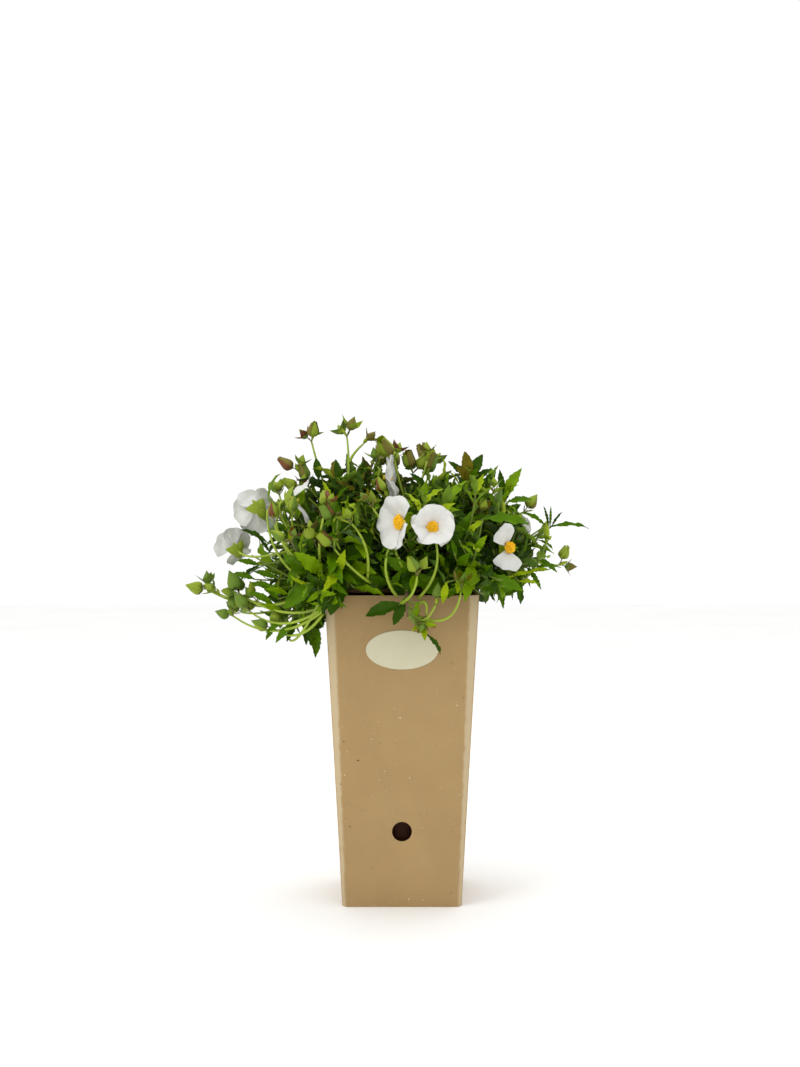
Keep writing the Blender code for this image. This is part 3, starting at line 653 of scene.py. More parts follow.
# %% Add the ribs
RIB_LEAN = math.atan2(pot_half(POT_HEIGHT) - pot_half(0), POT_HEIGHT)
RIB_EDGE = 0.4 * MM
rib_middle = sum(RIB_ENDS) / 2
cylinder = bpy.ops.mesh.primitive_cylinder_add
rib = add(cylinder, "pot_rib", vertices=12, radius=RIB_RADIUS, depth=RIB_ENDS[1] - RIB_ENDS[0])
apply_modifier(rib, "BEVEL", width=RIB_EDGE, segments=2, limit_method="ANGLE")
ribs = []
for side in range(4):
    for i in range(RIBS_A_SIDE):
        copy = rib.copy()
        copy.data = rib.data.copy()
        bpy.context.scene.collection.objects.link(copy)
        along = (i - (RIBS_A_SIDE - 1) / 2) * RIB_SPACING
        copy.matrix_world = (
            Matrix.Rotation(side * math.pi / 2, 4, "Z")
            @ Matrix.Translation((along, -pot_half(rib_middle), rib_middle))
            @ Matrix.Rotation(RIB_LEAN, 4, "X")
        )
        ribs.append(copy)
bpy.data.objects.remove(rib)
pick_up(pot)
for copy in ribs:
    copy.select_set(True)
bpy.ops.object.join()
smooth(settle(pot), POT_SMOOTH)
print("ribs:", len(ribs))

# %% Build the plastic finish
PLASTIC_LIGHT = rgb(54, 25, 12)
PLASTIC_DARK = rgb(38, 16, 6)
plastic, *_ = mottled(
    "moulded_plastic",
    PLASTIC_LIGHT,
    PLASTIC_DARK,
    0.55,
    scale=35.0,
    contrast=1.5,
    grain=0.1,
    Specular_IOR_Level=0.1,
)
hand_over(pot, "plastic", plastic, "inner_pot")

# %% [markdown]
# ## Compost
#
# The compost fills the pot to just under the lip. It starts as a cube cut to the pot's inside, its top
# is subdivided, and a Displace modifier with cloud texture makes the lumps. Loose crumbs of bark and
# peat lie on it: one crumb is modelled, and copies are joined into one mesh, as many small things are.

# %% Fill the pot
SOIL_TOP = 226 * MM
SOIL_MOUND = 2.4 * MM
SOIL_RING = 4 * MM
SOIL_CUTS = 15
clear = POT_WALL + GAP + SLACK
soil = folded_box(
    "compost",
    2 * (pot_half(POT_WALL + GAP) - clear),
    2 * (pot_half(SOIL_TOP) - clear),
    SOIL_TOP,
    POT_CORNER_FOOT,
    POT_CORNER_RIM,
)
edit(soil, "EDGE", everything=True)
bpy.ops.mesh.fill_holes(sides=0)
bpy.ops.mesh.select_all(action="SELECT")
resize(1, 1, 1 - (POT_WALL + GAP) / SOIL_TOP, middle=(0, 0, SOIL_TOP))
put_down()
settle(soil)
apply_modifier(soil, "TRIANGULATE")
edit(soil, "FACE")
pick(soil, "faces", lambda face: face.normal.z > FACES_UP)
for _ in range(2):
    bpy.ops.mesh.inset(thickness=SOIL_RING)
bpy.ops.mesh.poke()
bpy.ops.mesh.subdivide(number_cuts=SOIL_CUTS)
put_down()
print("compost faces:", len(soil.data.polygons))

# %% Rough up the compost
LUMP_SIZE = 9 * MM
LUMP_RISE = 5 * MM
PLAIN_EDGE = 3 * MM
COMPOST_LIGHT = rgb(62, 46, 34)
COMPOST_DARK = rgb(22, 16, 12)


def clouds_of(name, size, depth):
    """A cloud texture for the Displace modifier."""
    texture = bpy.data.textures.new(name, "CLOUDS")
    texture.noise_scale = size
    texture.noise_depth = depth
    return texture


lumps = clouds_of("lumps", LUMP_SIZE, 4)
mound_half = pot_half(SOIL_TOP) - clear - PLAIN_EDGE


def within(vert):
    """On the compost's top, but not at its edge."""
    return vert.co.z > SOIL_TOP - 1 * MM and max(abs(vert.co.x), abs(vert.co.y)) < mound_half


edit(soil)
pick(soil, "verts", within)
bpy.ops.object.vertex_group_assign_new()
bpy.ops.transform.translate(value=(0, 0, SOIL_MOUND * 0.5))
put_down()
top = soil.vertex_groups[0].name
apply_modifier(
    soil, "DISPLACE", texture=lumps, strength=LUMP_RISE, mid_level=0.5, direction="Z", vertex_group=top
)
smooth(soil)
compost, *_ = mottled(
    "moist_compost", COMPOST_LIGHT, COMPOST_DARK, 0.95, scale=260.0, contrast=3.0, grain=0.9
)
hand_over(soil, "soil", compost, "soil")

# %% [markdown]
# ## Many small things
#
# Leaves, buds, petals and crumbs repeat hundreds of times. Each shape is modelled once, then its points
# are copied to every place with array arithmetic, and all copies of one kind and colour become one
# joined mesh. A shape keeps its UV map, so a pattern can follow every leaf.


# %% Helpers for joined meshes
def shape_of(piece):
    """The points, faces and UV corners of a modelled piece, which is then removed."""
    mesh = piece.data
    points = np.empty(len(mesh.vertices) * 3)
    mesh.vertices.foreach_get("co", points)
    faces = [tuple(face.vertices) for face in mesh.polygons]
    uv = np.zeros(len(mesh.loops) * 2)
    if mesh.uv_layers:
        mesh.uv_layers.active.data.foreach_get("uv", uv)
    bpy.data.objects.remove(piece)
    return points.reshape(-1, 3), faces, uv


def gathered(copies):
    """One shape from copies of others. copies is a list of (shape, matrix)."""
    points, faces, uvs = [], [], []
    first = 0
    for (own, own_faces, own_uv), place in copies:
        turn = np.array(place)
        points.append(own @ turn[:3, :3].T + turn[:3, 3])
        faces.extend([tuple(first + corner for corner in face) for face in own_faces])
        uvs.append(own_uv)
        first += len(own)
    return np.concatenate(points), faces, np.concatenate(uvs)


def shown(name, data):
    """A new object of the scene for a mesh or a curve."""
    made = bpy.data.objects.new(name, data)
    bpy.context.scene.collection.objects.link(made)
    return made


def joined(name, copies):
    """One mesh object with a copy of a shape at each place."""
    points, faces, uv = gathered(copies)
    mesh = bpy.data.meshes.new(name)
    mesh.from_pydata(points.tolist(), [], faces)
    mesh.uv_layers.new(name="UVMap").data.foreach_set("uv", uv)
    mesh.shade_smooth()
    return shown(name, mesh)


def tubes(name, lines, sides=2):
    """One mesh of round tapering tubes. lines is a list of (points, radii at the two ends)."""
    curve = bpy.data.curves.new(name, "CURVE")
    curve.dimensions = "3D"
    curve.bevel_depth = 1
    curve.bevel_resolution = sides
    curve.use_fill_caps = True
    for points, radii in lines:
        spline = curve.splines.new("POLY")
        spline.points.add(len(points) - 1)
        for i, (target, point) in enumerate(zip(spline.points, points)):
            target.co = (*point, 1)
            place = i / (len(points) - 1) * (len(radii) - 1)
            low = min(int(place), len(radii) - 2)
            target.radius = between(radii[low], radii[low + 1], place - low)
    made = pick_up(shown(name, curve))
    bpy.ops.object.convert(target="MESH")
    mend(made)
    made.data.shade_smooth()
    return made


# %% Scatter crumbs on the compost
CRUMBS = 900
CRUMB = 1.5 * MM
BARK_SHARE = 0.35
CRUMB_RISE = 0.2
CRUMB_SIZES = {"dark": (1, 0.7, 0.45), "bark": (1.8, 0.7, 0.45)}
crumb = add(bpy.ops.mesh.primitive_ico_sphere_add, "crumb", subdivisions=1, radius=1)
edit(crumb, everything=True)
bpy.ops.transform.vertex_random(offset=0.3, seed=3)
put_down()
crumb_shape = shape_of(crumb)
draw = random.Random(11)
soil_half = pot_half(SOIL_TOP) - clear - 2 * CRUMB


def on_soil(x, y):
    """The height of the compost's surface under a point."""
    hit, place, *_ = soil.ray_cast(Vector((x, y, 1)), -UP)
    return place.z if hit else SOIL_TOP


crumbs = {kind: [] for kind in CRUMB_SIZES}
for _ in range(CRUMBS):
    x, y = (draw.uniform(-soil_half, soil_half) for _ in range(2))
    kind = "bark" if draw.random() < BARK_SHARE else "dark"
    long = CRUMB * draw.uniform(0.4, 1.3)
    turn = Matrix.Rotation(draw.uniform(0, math.tau), 4, "Z")
    tilt = Matrix.Rotation(draw.uniform(-0.5, 0.5), 4, "Y")
    size = Matrix.Diagonal((*(long * part for part in CRUMB_SIZES[kind]), 1))
    place = Matrix.Translation((x, y, on_soil(x, y) + CRUMB_RISE * long)) @ turn @ tilt @ size
    crumbs[kind].append((crumb_shape, place))
chips, *_ = mottled("bark_chips", rgb(110, 76, 48), rgb(58, 38, 24), 0.9, scale=300.0, grain=0.6)
for kind, finish in (("dark", compost), ("bark", chips)):
    piece = joined(f"crumbs_{kind}", crumbs[kind])
    piece.data.shade_flat()
    hand_over(piece, "soil", finish, "soil")

# %% [markdown]
# ## Stem and boughs
#
# A short woody stem stands on the compost and parts into fifteen boughs, one for each mass of foliage.
# The source gives every bough one smooth arc from the stem to the heart of its mass, so the same arcs
# are worked out again here, with more steps. A curve with a bevel makes each limb, and a Displace
# modifier with cloud texture gives it the relief of bark.

# %% Places of the limbs
STEM_FOOT = SOIL_TOP + SOIL_MOUND + GAP
STEM_TOP = 263 * MM
STEM_RADII = tuple(radius * MM for radius in (6.4, 4.8, 4.2, 3.9, 3.4))
STEM_LEAN = mm((2.0, -1.5, 0))
STEM_STEPS = 24
BOUGH_RADII = (1.7 * MM, 1.15 * MM)
BOUGH_STEPS = 7
FINER = 4
BOUGH_LEVEL = 250 * MM
BOUGH_LOWEST = 243.5 * MM
BOUGH_HIGHEST = 260 * MM
BOUGH_NECK = 1.5 * MM
BOUGH_BEND = 0.6
BOUGH_BEND_RISE = 0.25
BOUGH_ENTRY = 4 * MM
FLATTEST_BOUGH = math.radians(-18)
STEEPEST_SIDE_BOUGH = math.radians(68)
HANGING_ARCH = 24 * MM
HANGING_RISE = 12 * MM

HEARTS = {
    "left_low": (-86, -8, 230),
    "left_middle": (-86, -24, 284),
    "left_top": (-54, -4, 310),
    "crown": (6, -4, 314),
    "front": (6, -76, 284),
    "front_low": (4, -90, 226),
    "front_left": (-62, -70, 258),
    "front_right": (62, -70, 256),
    "right_top": (64, 4, 304),
    "right_middle": (88, -24, 278),
    "right_low": (84, -12, 238),
    "back_left": (-75, 70, 262),
    "back": (0, 92, 256),
    "back_right": (78, 72, 262),
    "back_top": (8, 54, 300),
}
HEARTS = {name: mm(place) for name, place in HEARTS.items()}
MASS_NODES = [f"mass_{name}" for name in HEARTS]


def arc(start, lean, end, steps):
    """Points of the smooth arc that leaves start towards lean and comes to end."""
    ways = (i / steps for i in range(steps + 1))
    return [start.lerp(lean, t).lerp(lean.lerp(end, t), t) for t in ways]


def stem_axis(height):
    share = (height - STEM_FOOT) / (STEM_TOP - STEM_FOOT)
    return Vector((0, 0, height)) + STEM_LEAN * share * share


def stem_radius(height):
    place = (height - STEM_FOOT) / (STEM_TOP - STEM_FOOT) * (len(STEM_RADII) - 1)
    low = max(0, min(int(place), len(STEM_RADII) - 2))
    return between(STEM_RADII[low], STEM_RADII[low + 1], place - low)


def bough_line(heart, steps):
    """The line from the stem to a heart, which a bough follows first and then the stem of its mass."""
    flat = Vector((heart.x, heart.y, 0))
    slope = math.atan2(heart.z - BOUGH_LEVEL, flat.length)
    if slope > STEEPEST_SIDE_BOUGH:
        start = stem_axis(STEM_TOP)
        return arc(start, start.lerp(heart, 0.5) + UP * BOUGH_NECK, heart, steps)
    share = (slope - FLATTEST_BOUGH) / (STEEPEST_SIDE_BOUGH - FLATTEST_BOUGH)
    height = between(BOUGH_LOWEST, BOUGH_HIGHEST, share)
    out = flat.normalized()
    neck = stem_axis(height) + out * (stem_radius(height) + GAP + BOUGH_NECK)
    rise = heart.z - neck.z
    arch = HANGING_ARCH if rise < HANGING_RISE else 0
    lean = neck + out * BOUGH_BEND * flat.length + UP * (BOUGH_BEND_RISE * rise + arch)
    return arc(neck, lean, heart, steps)


def own_space(name):
    """The flat sides of a mass's space: a point on each, and the way through it into the neighbour's."""
    mine = HEARTS[name]
    ways = [heart - mine for other, heart in HEARTS.items() if other != name]
    return [(mine + way / 2, way.normalized()) for way in ways]


def inside(sides, point, spare):
    return all((point - middle).dot(way) < -spare for middle, way in sides)


def bough_end(name):
    """The step at which a bough hands over to the stem of its mass, well inside that mass's space."""
    coarse = bough_line(HEARTS[name], BOUGH_STEPS)
    for i in range(2, BOUGH_STEPS - 2):
        if inside(own_space(name), coarse[i], BOUGH_ENTRY):
            return i
    return BOUGH_STEPS - 2


LINES = {name: bough_line(heart, BOUGH_STEPS * FINER) for name, heart in HEARTS.items()}
ENDS = {name: bough_end(name) * FINER for name in HEARTS}
print("bough ends, in steps:", ENDS)

# %% Grow the stem and boughs
RIDGE_SIZE = 2.2 * MM
STEM_RELIEF = 0.9 * MM
BOUGH_RELIEF = 0.3 * MM
YOUNG_FROM = 14 * MM
YOUNG_TO = 40 * MM
STEM_ROOT = 1 * MM
FORK = 1 * MM
ridges = clouds_of("ridges", RIDGE_SIZE, 3)


def bark_limb(name, points, radii, relief, node):
    """A limb with the relief of bark, on the node whose place it takes."""
    limb = tubes(name, [(points, radii)], sides=8)
    apply_modifier(limb, "SUBSURF", levels=1, render_levels=1)
    apply_modifier(limb, "DISPLACE", texture=ridges, strength=relief, mid_level=0.5, texture_coords="LOCAL")
    smooth(limb)
    hand_over(limb, "bark", bark, node)


BARK_LIGHT = rgb(132, 104, 70)
BARK_DARK = rgb(62, 44, 28)
YOUNG_STEM = rgb(128, 150, 52)
bark, tree, shader, spots, patches, _ = mottled(
    "woody_bark", BARK_LIGHT, BARK_DARK, 0.85, scale=240.0, contrast=2.5, grain=0.7, stretch=(1, 1, 0.3)
)
# The wood gives way to green young stem with the distance from the middle of the plant
away = new_node(tree, "ShaderNodeVectorMath", operation="LENGTH")
feed(tree, drawn_out(tree, spots.outputs["Object"], (1, 1, 0)), away.inputs[0])
young_part = ramp(
    tree, away.outputs["Value"], interpolation_type="SMOOTHSTEP", From_Min=YOUNG_FROM, From_Max=YOUNG_TO
)
feed(tree, mixed(tree, young_part, patches.outputs["Color"], YOUNG_STEM), shader.inputs["Base Color"])

heights = [between(STEM_FOOT - STEM_ROOT, STEM_TOP, i / STEM_STEPS) for i in range(STEM_STEPS + 1)]
stem_line = [stem_axis(height) for height in heights]
bough_lines = {name: LINES[name][: ENDS[name] + 1] for name in HEARTS}
bark_limb("woody_stem", stem_line, STEM_RADII, STEM_RELIEF, "main_stem")
for name, line in bough_lines.items():
    at_fork = abs(line[0].z - STEM_TOP) < FORK
    start = line[0] - UP * 2 * FORK if at_fork else stem_axis(line[0].z)
    bark_limb(f"woody_bough_{name}", [start] + line, BOUGH_RADII, BOUGH_RELIEF, f"bough_{name}")

# %% [markdown]
# ## Leaves
#
# The leaves sit in opposite pairs without a stalk. They are lance-shaped, mostly 25 to 38 mm long, folded
# a little along the midrib, with small wavy teeth, and many curl back at the tip. A grid is added, and
# its points are moved onto a blade worked out from a few sizes. Ten blades of different width, fold and
# curl are enough, because each copy is also turned and stretched.

# %% Shape the leaf blades
LEAF_ROWS = 14
LEAF_COLUMNS = 4
LEAF_FOOT = 0.12
CURL_STEPS = 60


def grid_of(name, rows, columns):
    """A new grid with u from 0 to 1 along x and v from -1 to 1 across it, and those values."""
    grid = add(bpy.ops.mesh.primitive_grid_add, name, x_subdivisions=rows, y_subdivisions=columns, size=1)
    points = np.array([vert.co for vert in grid.data.vertices])
    return grid, points[:, 0] + 0.5, points[:, 1] * 2


def reshaped(grid, x, y, z):
    grid.data.vertices.foreach_set("co", np.stack((x, y, z), axis=1).ravel())
    return shape_of(grid)


def swell(u, power):
    """A width that rises from 0 at the foot and falls to 0 at the tip."""
    return np.sin(np.pi * np.clip(u, 0, 1) ** power).clip(0)


def blade(width, widest, fold, curl, tooth=0.10, wave=0.03, twist=0.0, full=1.0):
    """A leaf one unit long, with its foot at the origin and its upper face towards +Z."""
    grid, u, v = grid_of("blade", LEAF_ROWS, LEAF_COLUMNS)
    half = 0.5 * width * swell(u, math.log(0.5) / math.log(widest)) ** full
    half = np.maximum(half, LEAF_FOOT * width * (1 - u))
    row = np.rint(u * LEAF_ROWS).astype(int)
    side = np.abs(v)
    teeth = np.where(row % 2 == 0, -tooth, tooth) * side**4
    y = v * half * (1 + teeth)
    ripple = np.sin(u * 19 + np.sign(v) * 0.9) * wave * side**2 * np.sin(np.pi * u)
    z = fold * half * side**1.3 + ripple
    turn = twist * u
    y, z = y * np.cos(turn) - z * np.sin(turn), y * np.sin(turn) + z * np.cos(turn)
    steps = np.linspace(0, 1, CURL_STEPS + 1)
    bend = curl * steps**1.4
    run = np.concatenate(([0], np.cumsum(np.cos(bend[:-1])) / CURL_STEPS))
    drop = np.concatenate(([0], -np.cumsum(np.sin(bend[:-1])) / CURL_STEPS))
    here = np.interp(u, steps, bend)
    x = np.interp(u, steps, run) + z * np.sin(here)
    z = np.interp(u, steps, drop) + z * np.cos(here)
    return reshaped(grid, x, y, z)


BLADES = {
    "broad": blade(0.32, 0.46, 0.35, 0.40, wave=0.03),
    "broad_wavy": blade(0.34, 0.44, 0.45, 0.75, wave=0.05, twist=0.4),
    "lance": blade(0.27, 0.45, 0.50, 0.55, wave=0.04, twist=-0.4),
    "lance_curled": blade(0.25, 0.43, 0.60, 1.2, wave=0.045),
    "narrow": blade(0.20, 0.46, 0.8, 0.5, tooth=0.16, wave=0.03, twist=0.4),
    "narrow_curled": blade(0.165, 0.44, 0.9, 1.0, tooth=0.18, wave=0.03),
    "slender": blade(0.11, 0.42, 0.9, 0.9, tooth=0.2, wave=0.03),
    "lance_wavy": blade(0.24, 0.50, 0.5, 0.6, tooth=0.12, wave=0.05),
    "cupped": blade(0.32, 0.48, 0.6, -0.45, wave=0.035),
    "oval": blade(0.40, 0.50, 0.40, 0.3, tooth=0.06, full=0.85),
}
MATURE = ("broad", "broad_wavy", "lance", "lance", "lance_curled", "oval")
YOUNG = ("lance", "broad_wavy", "cupped", "lance", "lance_curled", "narrow")
print("faces a leaf:", LEAF_ROWS * LEAF_COLUMNS, "blades:", len(BLADES))

# %% [markdown]
# ## Buds, petals and stamens
#
# A bud is wrapped in heart-shaped sepals with a sharp tip. Each sepal is a grid wrapped round the bud's
# axis: three broad ones, and two slim ones outside them that stand off and are often redder. Buds that
# are about to open have sepals that spread like the points of a crown. The white petals are
# broad wedges of thin, crumpled tissue. In the middle of a flower is a dense tuft of golden stamens
# round a pale disc, each stamen a thread with a small grain at its end.

# %% Shape the sepals and buds
BUD_LENGTH = 12.0 * MM
BUD_RADIUS = 4.1 * MM
SEPAL_ROWS = 7
SEPAL_COLUMNS = 4
BROAD_REACH = 1.2
SLIM_REACH = 0.55


def sepal(reach, radius, length, spread=0.0, lift=0.0):
    """A pointed, heart-shaped sepal round the z axis, centred on +X. Reach is its half width as an angle."""
    grid, u, v = grid_of("sepal", SEPAL_ROWS, SEPAL_COLUMNS)
    angle = v * reach * np.interp(u, (0, 0.12, 0.7, 1), (0.75, 1, 1, 0.6))
    teardrop = swell(u, 0.6) * (1 - 0.22 * u)
    keel = 1 + 0.12 * (1 - np.abs(v))
    away = radius * teardrop * keel + lift * swell(u, 0.5) + spread * u**2.2
    away = away + 0.22 * radius * (1 - u) ** 6
    lobes = -0.10 * length * np.abs(v) ** 1.5 * (1 - u) ** 3
    return reshaped(grid, away * np.cos(angle), away * np.sin(angle), u * length + lobes - 0.3 * MM)


def ring(shapes, first=0.0):
    """One shape from several that stand evenly round z."""
    turns = (Matrix.Rotation(first + i * math.tau / len(shapes), 4, "Z") for i in range(len(shapes)))
    return gathered(list(zip(shapes, turns)))


def bud_shape(spread):
    """The three broad sepals of a bud. Where they spread, three shorter ones close the bud inside them."""
    outer = ring([sepal(BROAD_REACH, BUD_RADIUS, BUD_LENGTH, spread, 0.1 * MM * i) for i in range(3)])
    if not spread:
        return outer
    core = ring([sepal(BROAD_REACH, 0.8 * BUD_RADIUS, 0.85 * BUD_LENGTH)] * 3, first=math.pi / 3)
    return gathered([(outer, Matrix()), (core, Matrix())])


def wing_shape(spread):
    """The two slim outer sepals of a bud, which stand off it."""
    return ring([sepal(SLIM_REACH, BUD_RADIUS, 0.95 * BUD_LENGTH, spread, 0.6 * MM)] * 2, first=0.5)


def open_sepal(length, half_width, rise):
    """A pointed sepal of an open flower, which lies along +X behind the petals and rises to its tip."""
    grid, u, v = grid_of("open_sepal", SEPAL_ROWS, SEPAL_COLUMNS)
    half = half_width * swell(u, 0.6) + 0.9 * MM * (1 - u)
    y = v * half
    z = rise * u**1.3 + 0.35 * np.abs(y) - 0.6 * MM * np.sin(np.pi * u)
    return reshaped(grid, 0.5 * MM + length * u, y, z)


broad_ring = ring([open_sepal(10.5 * MM, 3.8 * MM, 5.2 * MM)] * 3)
slim_ring = ring([open_sepal(9.0 * MM, 2.0 * MM, 2.6 * MM)] * 2, first=0.9)
CALYX = gathered([(broad_ring, Matrix()), (slim_ring, Matrix())])
SMALL_BUD = ring([sepal(BROAD_REACH, 3.2 * MM, 8.5 * MM)] * 3)
STAR = ring([open_sepal(7.5 * MM, 2.6 * MM, 6.5 * MM)] * 3, first=0.4)
BUDS = [bud_shape(0), bud_shape(1.2 * MM), bud_shape(3.2 * MM), SMALL_BUD]
WINGS = [wing_shape(0.4 * MM), wing_shape(2.4 * MM), wing_shape(4.2 * MM), STAR]
print("faces a bud:", len(BUDS[0][1]))

# %% Shape the petals, stamens and pistil
PETAL_LENGTH = 20 * MM
PETAL_HALF_ANGLE = math.radians(47)
PETAL_COLUMNS = 12
PETAL_ROWS = 12
CLAW = 0.26
CRUMPLE = 1.7 * MM


def crumples(a, b, seed):
    """Soft bumps at a place on a petal, in two sizes."""
    coarse = noise.noise(Vector((a / MM * 0.16, b / MM * 0.16, seed * 3.7)))
    return coarse + 0.5 * noise.noise(Vector((a / MM * 0.4, b / MM * 0.4, seed * 5.1)))


def petal(seed):
    """A crumpled petal that lies along +X, facing +Z, as its yellow foot and its white blade."""
    grid, u, v = grid_of("petal", PETAL_ROWS, PETAL_COLUMNS)
    spread = np.interp(u, (0, 0.25, 0.6, 1), (0.6, 0.95, 1.04, 1.0))
    angle = v * PETAL_HALF_ANGLE * spread
    side = np.abs(v)
    edge = 1 - 0.13 * side**3 - 0.05 * np.exp(-((v / 0.16) ** 2)) + 0.02 * np.sin(v * 9 + seed)
    away = PETAL_LENGTH * u * (1 + (edge - 1) * u**2)
    x = away * np.cos(angle)
    y = away * np.sin(angle)
    z = 0.06 * PETAL_LENGTH * u**2 - 0.15 * PETAL_LENGTH * u**5
    crumple = np.array([crumples(a, b, seed) for a, b in zip(x, y)])
    pleats = (np.sin(v * 4 + seed * 2.1) * 0.8 + np.sin(v * 10 + seed) * 0.16) * MM * u
    z = z + crumple * CRUMPLE * u**1.3 + pleats
    points, faces, uv = reshaped(grid, x, y, z)
    feet, blades = [], []
    for face in faces:
        reach = sum(u[corner] for corner in face) / len(face)
        (feet if reach < CLAW else blades).append(face)
    corner_uv = {corner: (u[corner], (v[corner] + 1) / 2) for face in faces for corner in face}

    def part(kept):
        uv = np.array([axis for face in kept for corner in face for axis in corner_uv[corner]])
        return points, kept, uv

    return part(feet), part(blades)


def small_part(primitive, name, **settings):
    return shape_of(settle(add(primitive, name, **settings)))


PETALS = [petal(seed) for seed in range(6)]
thread = {"vertices": 4, "radius1": 0.16 * MM, "radius2": 0.09 * MM, "depth": 1, "location": (0, 0, 0.5)}
FILAMENT = small_part(bpy.ops.mesh.primitive_cone_add, "filament", **thread)
grain = {"subdivisions": 1, "radius": 0.72 * MM, "scale": (1, 0.8, 1.2)}
ANTHER = small_part(bpy.ops.mesh.primitive_ico_sphere_add, "anther", **grain)
ball = bpy.ops.mesh.primitive_uv_sphere_add
STIGMA = small_part(ball, "stigma", segments=10, ring_count=6, radius=1.25 * MM, scale=(1, 1, 0.6))
DISC = small_part(ball, "disc", segments=12, ring_count=8, radius=2.2 * MM, scale=(1, 1, 0.7))
print("faces a petal:", len(PETALS[0][0][1]) + len(PETALS[0][1][1]))

# %% [markdown]
# ## The rule of growth
#
# Each mass branches from its own stem by a seeded rule, so the plant is the same on every run. Shoots
# stand all round the stem, more open near its foot. They bend upwards as they grow, and turn back or
# stop where they would leave the crown's outline, the mass's space or touch the pot, a limb or a flower.
# Opposite pairs of leaves follow each other up a shoot, each pair turned a quarter from the last, and
# short side shoots rise from the angles of some leaves. It could also be done with instances, but
# plain joined meshes keep every leaf in the exported model.

# %% Sizes of the crown
FIRST_SEED = 901
SPACE_OVERLAP = 5 * MM
POT_CLEARANCE = 1.5 * MM
LIMB_CLEARANCE = 2.4 * MM
LIMB_STEP = 1.5 * MM
DOME_HEART = mm((0, 0, 262))
DOME = mm((122, 118, 84))
DOME_RIGHT = mm((107, 118, 75))
DOME_POWER = 2
DOME_RIGHT_POWER = 2.8
DOME_DROOP = 78 * MM
CROWN_FLOOR = 226 * MM
FLOORS = {"left_low": 206 * MM, "front_low": 221 * MM, "back_left": 206 * MM, "back": 214 * MM}
HIGHER_FLOORS = {"right_low": 238 * MM, "right_middle": 242 * MM, "front_right": 234 * MM}
print("dome in mm:", [round(axis / MM) for axis in DOME])

# %% Sizes of the shoots and leaves
SHOOTS_A_MASS = 17
FEWER_SHOOTS = {
    "left_low": 13,
    "left_middle": 15,
    "left_top": 13,
    "right_low": 10,
    "front_low": 6,
    "back_left": 14,
}
SHOOT_LENGTH = 62 * MM
SHOOT_STEP = 7 * MM
SHOOT_RADII = (1.15 * MM, 0.6 * MM)
WOBBLE = 0.09
TURN_BACK = 0.3
SIDE_SHOOT_SHARE = 0.34
SIDE_SHOOT = 20 * MM
SIDE_SHOOT_RADII = (0.75 * MM, 0.5 * MM)
OPEN_FOOT = math.radians(80)
OPEN_TIP = math.radians(22)
LIFT = 0.16
DROOP = -0.14
GOLDEN = math.radians(137.5)
INTERNODE = 8.5 * MM
LEAF_LENGTH = 35 * MM
TIP_LEAF = 24 * MM
LEAF_ROOM = 3.4 * MM
LEAF_SPINE = (0.4, 0.7, 1.0)
LEAF_SHARES = (1.0, 0.8, 0.62)
LEAF_TURN_BACK = 0.35
OVERREACH = 10 * MM
FACE_OUT = Vector((0, -0.8, 0.6))
LEAF_ANGLE = math.radians(54)
TIP_ANGLE = math.radians(20)
print("shoots in all:", sum(FEWER_SHOOTS.get(name, SHOOTS_A_MASS) for name in HEARTS))

# %% Sizes of the stalks, buds and flowers
STALK_RADII = (1.0 * MM, 0.75 * MM)
ARCH_RADII = (1.25 * MM, 0.75 * MM)
STALK_STEPS = 12
STALK_SAG = 0.22
STALK_FEET = 12
TWIG_STEPS = 6
TWIG_SAG = 2 * MM
PEDICEL = 7 * MM
PEDICEL_RADII = (0.5 * MM, 0.4 * MM)
TIP_BUDS_LEFT = 0.3
TIP_BUDS_RIGHT = 0.08
BUD_REACH = 8 * MM
BRACT = 9 * MM
BUD_RISE = 0.4
BUD_SPREAD = 0.75
LONE_BUD_SPREAD = 0.2
CALYX_LENGTH = 5.5 * MM
CALYX_LAP = 1 * MM
NEAR_HEART = 12 * MM
BLOOM_NECK = 0.35
BLOOM_SAG = 0.1
BEHIND_PETALS = -4 * MM
BEFORE_PETALS = 26 * MM
print("stalk radii in mm:", [round(radius / MM, 2) for radius in STALK_RADII])

# %% Places of the flowers
# The heart in millimetres, the way it faces, its cup and its turn in degrees, its size, and a 1 for each
# petal that is left
BLOOMS = (
    ((1, -90, 295), (-0.83, -0.56, 0.02), 34, 20, 1.13, "11101"),
    ((22, -88, 291), (0.12, -0.97, 0.24), 42, -17, 0.95, "11111"),
    ((81, -44, 276), (0.52, -0.85, 0.08), 20, -24, 0.97, "10100"),
    ((-85, -44, 313), (0.92, 0.34, 0.0), 47, 2, 1.15, "00101"),
    ((-14, -18, 331), (0.90, -0.10, 0.05), 30, 10, 0.95, "11111"),
    ((-114, -16, 306), (-0.45, 0.86, -0.20), 22, 0, 0.98, "11111"),
    ((-131, -20, 275), (-0.50, 0.75, 0.30), 30, 20, 0.86, "11011"),
    ((-8, 112, 292), (-0.20, 0.90, 0.35), 24, 0, 1.0, "11111"),
    ((94, 86, 288), (0.60, 0.70, 0.30), 20, 0, 1.0, "11111"),
)
BLOOMS = [
    (mm(heart), Vector(way).normalized(), math.radians(cup), math.radians(turn), size, left)
    for heart, way, cup, turn, size, left in BLOOMS
]
print("flowers:", len(BLOOMS))

